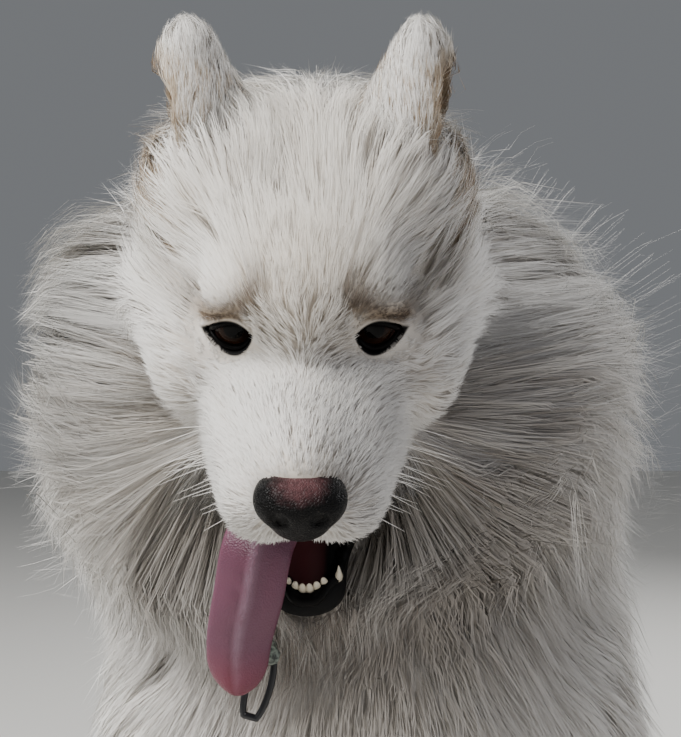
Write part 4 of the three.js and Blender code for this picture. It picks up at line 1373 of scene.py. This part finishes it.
def rimLine(s):
    t = np.linspace(0, 2 * np.pi, 65)[:-1]
    x = lids["halfWidth"] * np.cos(t)
    bow = np.sin(t) ** 2
    z = np.where(t < np.pi, lids["above"] * bow, -lids["below"] * bow) * almond(s, x)
    inner = np.clip(-x * s / lids["halfWidth"] - 0.75, 0, 1) * 4
    x = x - s * inner * rim["corner"]
    z = z - inner * rim["drop"]
    y = -np.sqrt(np.maximum((dog["eyeRadius"] + rim["out"]) ** 2 - x**2 - z**2, 12))
    return placed(lidFrame(s), np.stack([x, y, z], 1)), rim["thick"] * (0.8 + 0.35 * bow)


finished(tubes("eyeRims", [rimLine(s) for s in sides], 3, True), blackMaterial)


# Nose leather

noseMuscles = [
    headBlob("nose", (0, -84, -26), (16.5, 13, 10.5), 6),
    headBlob("nose", (0, -82, -35.5), (13.5, 12, 10), 6),
    *[headBlob("nose", (10 * s, -82, -27), (8.5, 12, 8.5), 5) for s in sides],
]
nostrils = []
for s in sides:
    nostrils += [
        headCone("nose", (9 * s, -104, -31), 4.2, (6.5 * s, -84, -26), 2.4, 2),
        headCone("nose", (19 * s, -96, -37), 1.6, (9.5 * s, -94, -31), 1.8, 2),
    ]
philtrum = [headCone("nose", (0, -103, -30), 1, (0, -94, -50), 1.2, 2)]


def noseField(p):
    d = skinOf(noseMuscles, p)
    d = carved(d, skinOf(nostrils, p), 2.5 * mm)
    return carved(d, skinOf(philtrum, p), 2 * mm)


nose = applied(remesh(lumpOf("noseLeather", noseMuscles), 1))
settle(nose, noseField, 5, 0.4 * mm)
refine(nose, lambda p: inHead(p)[:, 1] < -78)
settle(nose, noseField, 4, 0.3 * mm)
smoothed(nose)
p = verticesOf(nose.data)
x, _, z = inHead(p).T
addValues(nose.data, "pinkish", spot((x, 11), (z + 15, 5.5)) * smooth(skinOf(nostrils, p) / (3 * mm)))


# Nose leather: fine raised cells, black with a faded pinkish-brown top
def noseLeather(tree):
    cells = patterned(tree, "TexVoronoi", 8.5, feature="DISTANCE_TO_EDGE")
    raised = add(tree, "MapRange", {"Value": cells, "From Max": 0.22})
    bump = add(tree, "Bump", {"Height": raised, "Strength": 0.6, "Distance": 0.0004})
    patchy = patterned(tree, "TexNoise", 2.6, {"Detail": 3})
    pinkish = add(tree, "Attribute", {}, "Fac", attribute_name="pinkish")
    faded = add(tree, "Math", {0: pinkish, 1: patchy}, operation="MULTIPLY")
    faded = add(tree, "MapRange", {"Value": faded, "From Min": 0.08, "From Max": 0.5})
    colour = add(tree, "Mix", {0: faded, 6: linear("#060505"), 7: linear("#5a3b3d")}, 2, data_type="RGBA")
    return {"Base Color": colour, "Normal": bump, "Roughness": 0.4, "Specular IOR Level": 0.14}


finished(nose, material("noseLeather", noseLeather), ["nose"])


# Tongue, hanging over the right lip

tongueShape = {"halfWidth": 16, "halfThickness": 3.6, "groove": 3.4, "curl": 2.5}  # mm
tonguePath = placed(bodyFrame, np.array(dog["eyeMiddle"]) + np.array([
    (-1, 50, -58), (-10, 24, -74), (-21, 6, -93), (-26, 6, -117), (-31, 12, -141), (-32, 16, -166),
]))


def tonguePiece():
    bm = bmesh.new()
    bmesh.ops.create_uvsphere(bm, u_segments=56, v_segments=90, radius=1)
    sphere = np.array([v.co for v in bm.verts])
    t = np.arccos(np.clip(-sphere[:, 2], -1, 1)) / np.pi
    line = curved(tonguePath, 200)
    at = t * 199
    low = np.minimum(at.astype(int), 198)
    part = (at - low)[:, None]
    way = unit(np.gradient(line, axis=0))
    middle, way = (a[low] * (1 - part) + a[low + 1] * part for a in (line, way))
    side = unit(np.cross(way, np.array((0, -1, 0))) * -1)
    up = np.cross(side, way)
    angle = np.arctan2(sphere[:, 1], sphere[:, 0])
    u = np.cos(angle)
    end = np.sqrt(np.clip(1 - np.clip((t - 0.86) / 0.14, 0, 1) ** 2, 0, 1))  # the round tip
    wide = tongueShape["halfWidth"] * (0.82 + 0.2 * np.sin(np.pi * t)) * end
    thick = tongueShape["halfThickness"] * np.minimum(1, 0.25 + end)
    groove = -tongueShape["groove"] * spot((u * wide, 4.5)) * np.sin(np.pi * np.clip(t * 1.1, 0, 1))
    ripple = tongueShape["curl"] * u * u * np.sin(t * 17 + u * 2) * 0.35 * ramp(t, 0.3, 0.3)
    lift = thick * np.sin(angle) + groove + tongueShape["curl"] * u * u + ripple
    points = middle + side * (u * wide * mm)[:, None] + up * (lift * mm)[:, None]
    for v, point in zip(bm.verts, points):
        v.co = point
    piece = smoothed(fromBmesh("tongueFlesh", bm))
    addValues(piece.data, "across", u * np.where(np.sin(angle) > -0.4, 1, 0.5))
    addValues(piece.data, "down", t)
    return piece


# Wet tongue: mauve-pink with a velvety top and redder at the tip; along the groove a painted highlight
# beside a line of painted shade, and one edge painted paler as if lit
def wetTongue(tree):
    across, down = (add(tree, "Attribute", {}, "Fac", attribute_name=name) for name in ("across", "down"))
    halved = add(tree, "Math", {0: across, 1: 0.5}, operation="MULTIPLY")
    middle = add(tree, "Math", {0: halved, 1: 0.5}, operation="ADD")
    # across the tongue: the darkest stop is painted shade and the palest a painted highlight along the
    # groove, and the first stop is painted paler as if lit
    fold = bands(add(tree, "ValToRGB", {"Fac": middle}), (
        (0, "#6f4659"), (0.36, "#5f3a4b"), (0.44, "#412330"), (0.5, "#8f7584"), (0.56, "#70495c"),
        (1, "#613346"),
    ))
    veins = patterned(tree, "TexNoise", 1.3, {"Detail": 4})
    tip = add(tree, "MapRange", {"Value": down, "From Min": 0.8, "From Max": 1, "To Max": 0.8})
    colour = fold
    for factor, other in ((veins, "#684050"), (tip, "#78323f")):
        colour = add(tree, "Mix", {0: factor, 6: colour, 7: linear(other)}, 2, data_type="RGBA")
    papillae = patterned(tree, "TexVoronoi", 11)
    bump = add(tree, "Bump", {"Height": papillae, "Strength": 0.4, "Distance": 0.0005})
    return {"Base Color": colour, "Normal": bump, "Roughness": 0.36, "Specular IOR Level": 0.3,
            "Subsurface Weight": 0.12, "Subsurface Radius": (0.006, 0.002, 0.002)}


finished(tonguePiece(), material("wetTongue", wetTongue), ["tongue"])


# Teeth and lips of the lower jaw

teeth = {  # mm
    "gum": -64, "canineOut": 13.5, "canineHeight": 11, "canine": 3,
    "step": 3.5, "height": 12, "incisor": 1.9,
}
canines = []
for s in sides:
    foot = np.array((teeth["canineOut"] * s, -56, teeth["gum"] - 3))
    top = (1.6 * s, -2, teeth["canineHeight"] + 7)
    bend = [foot, foot + (1.2 * s, -2.4, 6), foot + (1.8 * s, -3.4, 12), foot + top]
    canines.append((placed(jawFrame, curved(bend, 14)), teeth["canine"] * pointed(14, 0.97)))
incisors = bmesh.new()
for i in (-2.5, -1.5, -0.5, 0.5, 1.5, 2.5):
    at = Vector((teeth["step"] * i, -66 + 0.5 * i * i, teeth["gum"] + teeth["height"] / 2 - 1)) * mm
    size = Vector((teeth["incisor"], teeth["incisor"] * 0.6, teeth["height"] / 2 + 1.4 + 0.4 * abs(i))) * mm
    tilt = Matrix.Rotation(0.16 * i, 4, "Z") @ Matrix.Rotation(-0.05 * i, 4, "Y")
    shape = jawFrame @ Matrix.Translation(at) @ tilt @ Matrix.Diagonal((*size, 1))
    bmesh.ops.create_uvsphere(incisors, u_segments=16, v_segments=14, radius=1, matrix=shape)


# Enamel: glossy warm white, with yellower grains
def enamel(tree):
    return {"Base Color": twoTone(tree, 3, 2, "#dcd5c6", "#b8ab92")[0], "Roughness": 0.22}


enamelMaterial = material("enamel", enamel)
finished(smoothed(fromBmesh("lowerIncisors", incisors)), enamelMaterial)
finished(tubes("lowerCanines", canines), enamelMaterial)

lowerLip = [(29, 8, -52), (27, -8, -55), (24, -26, -58), (19, -42, -60), (13, -56, -62), (6, -66, -64)]
lowerLip.append((0, -68, -64.5))
lowerLip += [(-x, y, z) for x, y, z in lowerLip[-2::-1]]
lipLine = curved(lowerLip, 140)
share = np.linspace(0, 1, 140)
wave = np.sin(share * 2 * np.pi * 26) * ramp(abs(share - 0.5) * 2, 0.3, 0.2)  # crinkled towards the corners
lipLine[:, 2] += 0.5 * wave
lipLine = placed(jawFrame, lipLine)
for _ in range(4):
    lipLine -= (headCarved(lipLine) - 0.4 * mm)[:, None] * unit(slope(headCarved, lipLine, mm))
finished(tubes("lowerLip", [(lipLine, 3.3 + 0.5 * wave)], 4), blackMaterial)


# Whiskers: stiff white bristles in rows on both lips, longest at the back

whisker = {  # in mm but for the counts: the foremost root, the steps between roots and rows, lengths, radius
    "rows": 4, "inRow": 6, "front": (14, -66, -27), "apart": 8.5, "rowsApart": 5.2, "length": 34,
    "longer": 5.5, "uneven": 4, "thick": 0.34,
}
whiskerLines = []
for s in sides:
    for row in range(whisker["rows"]):
        for k in range(whisker["inRow"] - row % 2):
            out, front, up = whisker["front"]
            y = front + whisker["apart"] * k + 3 * (row % 2)
            start = np.array((out * s + (y - front) * 0.22 * s, y, up - whisker["rowsApart"] * row))
            long = whisker["length"] + whisker["longer"] * k + draw.normal(0, whisker["uneven"])
            back, down = 0.35 + draw.normal(0, 0.12), -0.35 - 0.1 * row + draw.normal(0, 0.1)
            way = unit(np.array((1.1 * s, back, down)))
            droop = np.array((0, 0.16, -0.2)) * long
            line = [start, start + way * long * 0.5 + droop * 0.2, start + way * long + droop]
            taper = 1 - np.linspace(0, 0.8, 9)
            whiskerLines.append((placed(headFrame, curved(line, 9)), whisker["thick"] * taper))


# Bristle: smooth and near white
def whiteBristle(tree):
    return {"Base Color": twoTone(tree, 0.6, 2, "#ffffff", "#e6dfd2")[0], "Roughness": 0.3}


finished(tubes("whiskers", whiskerLines, 0), material("whiteBristle", whiteBristle))


# Claws

claw = {"thick": 3, "bend": ((12, 13), (19, 13.5), (24, 10), (27, 5))}  # mm: radius, ahead of its toe and up
clawLines = []
for x, y in toePlaces:
    bend = [(x, y - ahead, up) for ahead, up in claw["bend"]]
    clawLines.append((placed(bodyFrame, curved(bend, 10)), claw["thick"] * pointed(10, 0.93)))


# Claw horn: dark grey-brown, mottled with a lighter grey-brown
def clawHorn(tree):
    return {"Base Color": twoTone(tree, 2.2, 2, "#4b4038", "#7c6c5e")[0], "Roughness": 0.35}


finished(tubes("claws", clawLines, 2), material("clawHorn", clawHorn))


# The collar's ring, hanging from a barrel in the ruff

ring = {  # mm
    "top": (-54, -170, 488), "foot": (-62, -172, 461), "halfWidth": 5.5, "wire": 1.7,
    "barrel": 4.4, "long": 12,
}
top, foot = np.array(ring["top"], float), np.array(ring["foot"], float)
down = unit(foot - top)
across = unit(np.cross(down, (0, 1, 0)))
half = np.linalg.norm(foot - top) / 2
t = np.linspace(0, 2 * np.pi, 49)[:-1]
straight = np.sign(np.cos(t)) * np.minimum(abs(np.cos(t)) * half * 1.25, half)
oval = (top + foot) / 2 + np.outer(-straight, down) + np.outer(np.sin(t) * ring["halfWidth"], across)
ringPiece = tubes("collarRing", [(placed(bodyFrame, oval), np.full(48, ring["wire"]))], 3, True)
barrelEnds = [top + across * out * ring["long"] / 2 + (0, 0, 2) for out in (-1, 1)]
barrelSize = ring["barrel"] * np.array([0.6, 1, 1, 1, 1, 0.6])
barrelLine = placed(bodyFrame, np.linspace(*barrelEnds, 6))
tabLine = placed(bodyFrame, [top + (0, 2, 2), top + (0, 34, 4)])
barrelPiece = tubes("collarBarrel", [(barrelLine, barrelSize), (tabLine, [4, 4])], 4)


# Black lacquered wire with fine scuffs
def blackLacquer(tree):
    return {"Base Color": twoTone(tree, 5, 4, "#08080a", "#1c1c20")[0], "Roughness": 0.35}


# Mottled grey-green plastic
def mottledPlastic(tree):
    mottle = patterned(tree, "TexNoise", 4.2, {"Detail": 2})
    spread = add(tree, "MapRange", {"Value": mottle, "From Min": 0.4, "From Max": 0.6})
    colour = add(tree, "Mix", {0: spread, 6: linear("#2d332e"), 7: linear("#7e877c")}, 2, data_type="RGBA")
    return {"Base Color": colour, "Roughness": 0.5}


finished(ringPiece, material("blackLacquer", blackLacquer), ["collar_loop"])
finished(barrelPiece, material("mottledPlastic", mottledPlastic))
print("small parts")


# Floor, lights and camera

studio = {"floor": "#d9d7d2", "world": "#cfd3d8", "worldStrength": 0.28}
lights = {  # place and size in metres, watts, colour
    "keyLight": ((-1.5, -1.2, 2.4), 1.9, 126, "#fffefc"),
    "fillLight": ((1.8, -1.4, 1.0), 1.6, 7, "#f4f4ff"),
    "backLight": ((1.3, 1.6, 1.9), 1.2, 45, "#ffffff"),
}
floorMesh = bmesh.new()
bmesh.ops.create_grid(floorMesh, x_segments=2, y_segments=2, size=6)
floor = fromBmesh("floor", floorMesh)
floor.data.materials.append(material("paleFloor", {"Base Color": linear(studio["floor"]), "Roughness": 0.9}))

world = bpy.data.worlds.new("studio")
world.use_nodes = True
background = world.node_tree.nodes["Background"]
feed(world.node_tree, background, {"Color": linear(studio["world"]), "Strength": studio["worldStrength"]})
bpy.context.scene.world = world

for name, (at, size, power, hexColour) in lights.items():
    light = bpy.data.lights.new(name, "AREA")
    light.shape = "DISK"
    light.size = size
    light.energy = power
    light.color = linear(hexColour)[:3]
    lamp = newObject(name, light)
    lamp.location = at
    lamp.rotation_euler = (eyeMiddle - Vector(at)).to_track_quat("-Z", "Y").to_euler()

view = {"width": 681, "height": 737, "focal": 1113, "right": 16, "back": 500, "down": 13.9}  # px, px, px, mm
lens = bpy.data.cameras.new("camera")
lens.sensor_fit = "VERTICAL"
lens.sensor_height = lens.sensor_width = 36
lens.lens = 36 * view["focal"] / view["height"]
lens.clip_start = 0.02
camera = newObject("camera", lens)
camera.location = eyeMiddle + Vector((view["right"], -view["back"], -view["down"])) * mm
camera.rotation_euler = (math.pi / 2, 0, 0)
bpy.context.scene.camera = camera
bpy.context.scene.cycles.diffuse_bounces = 8  # light passes on through white hair
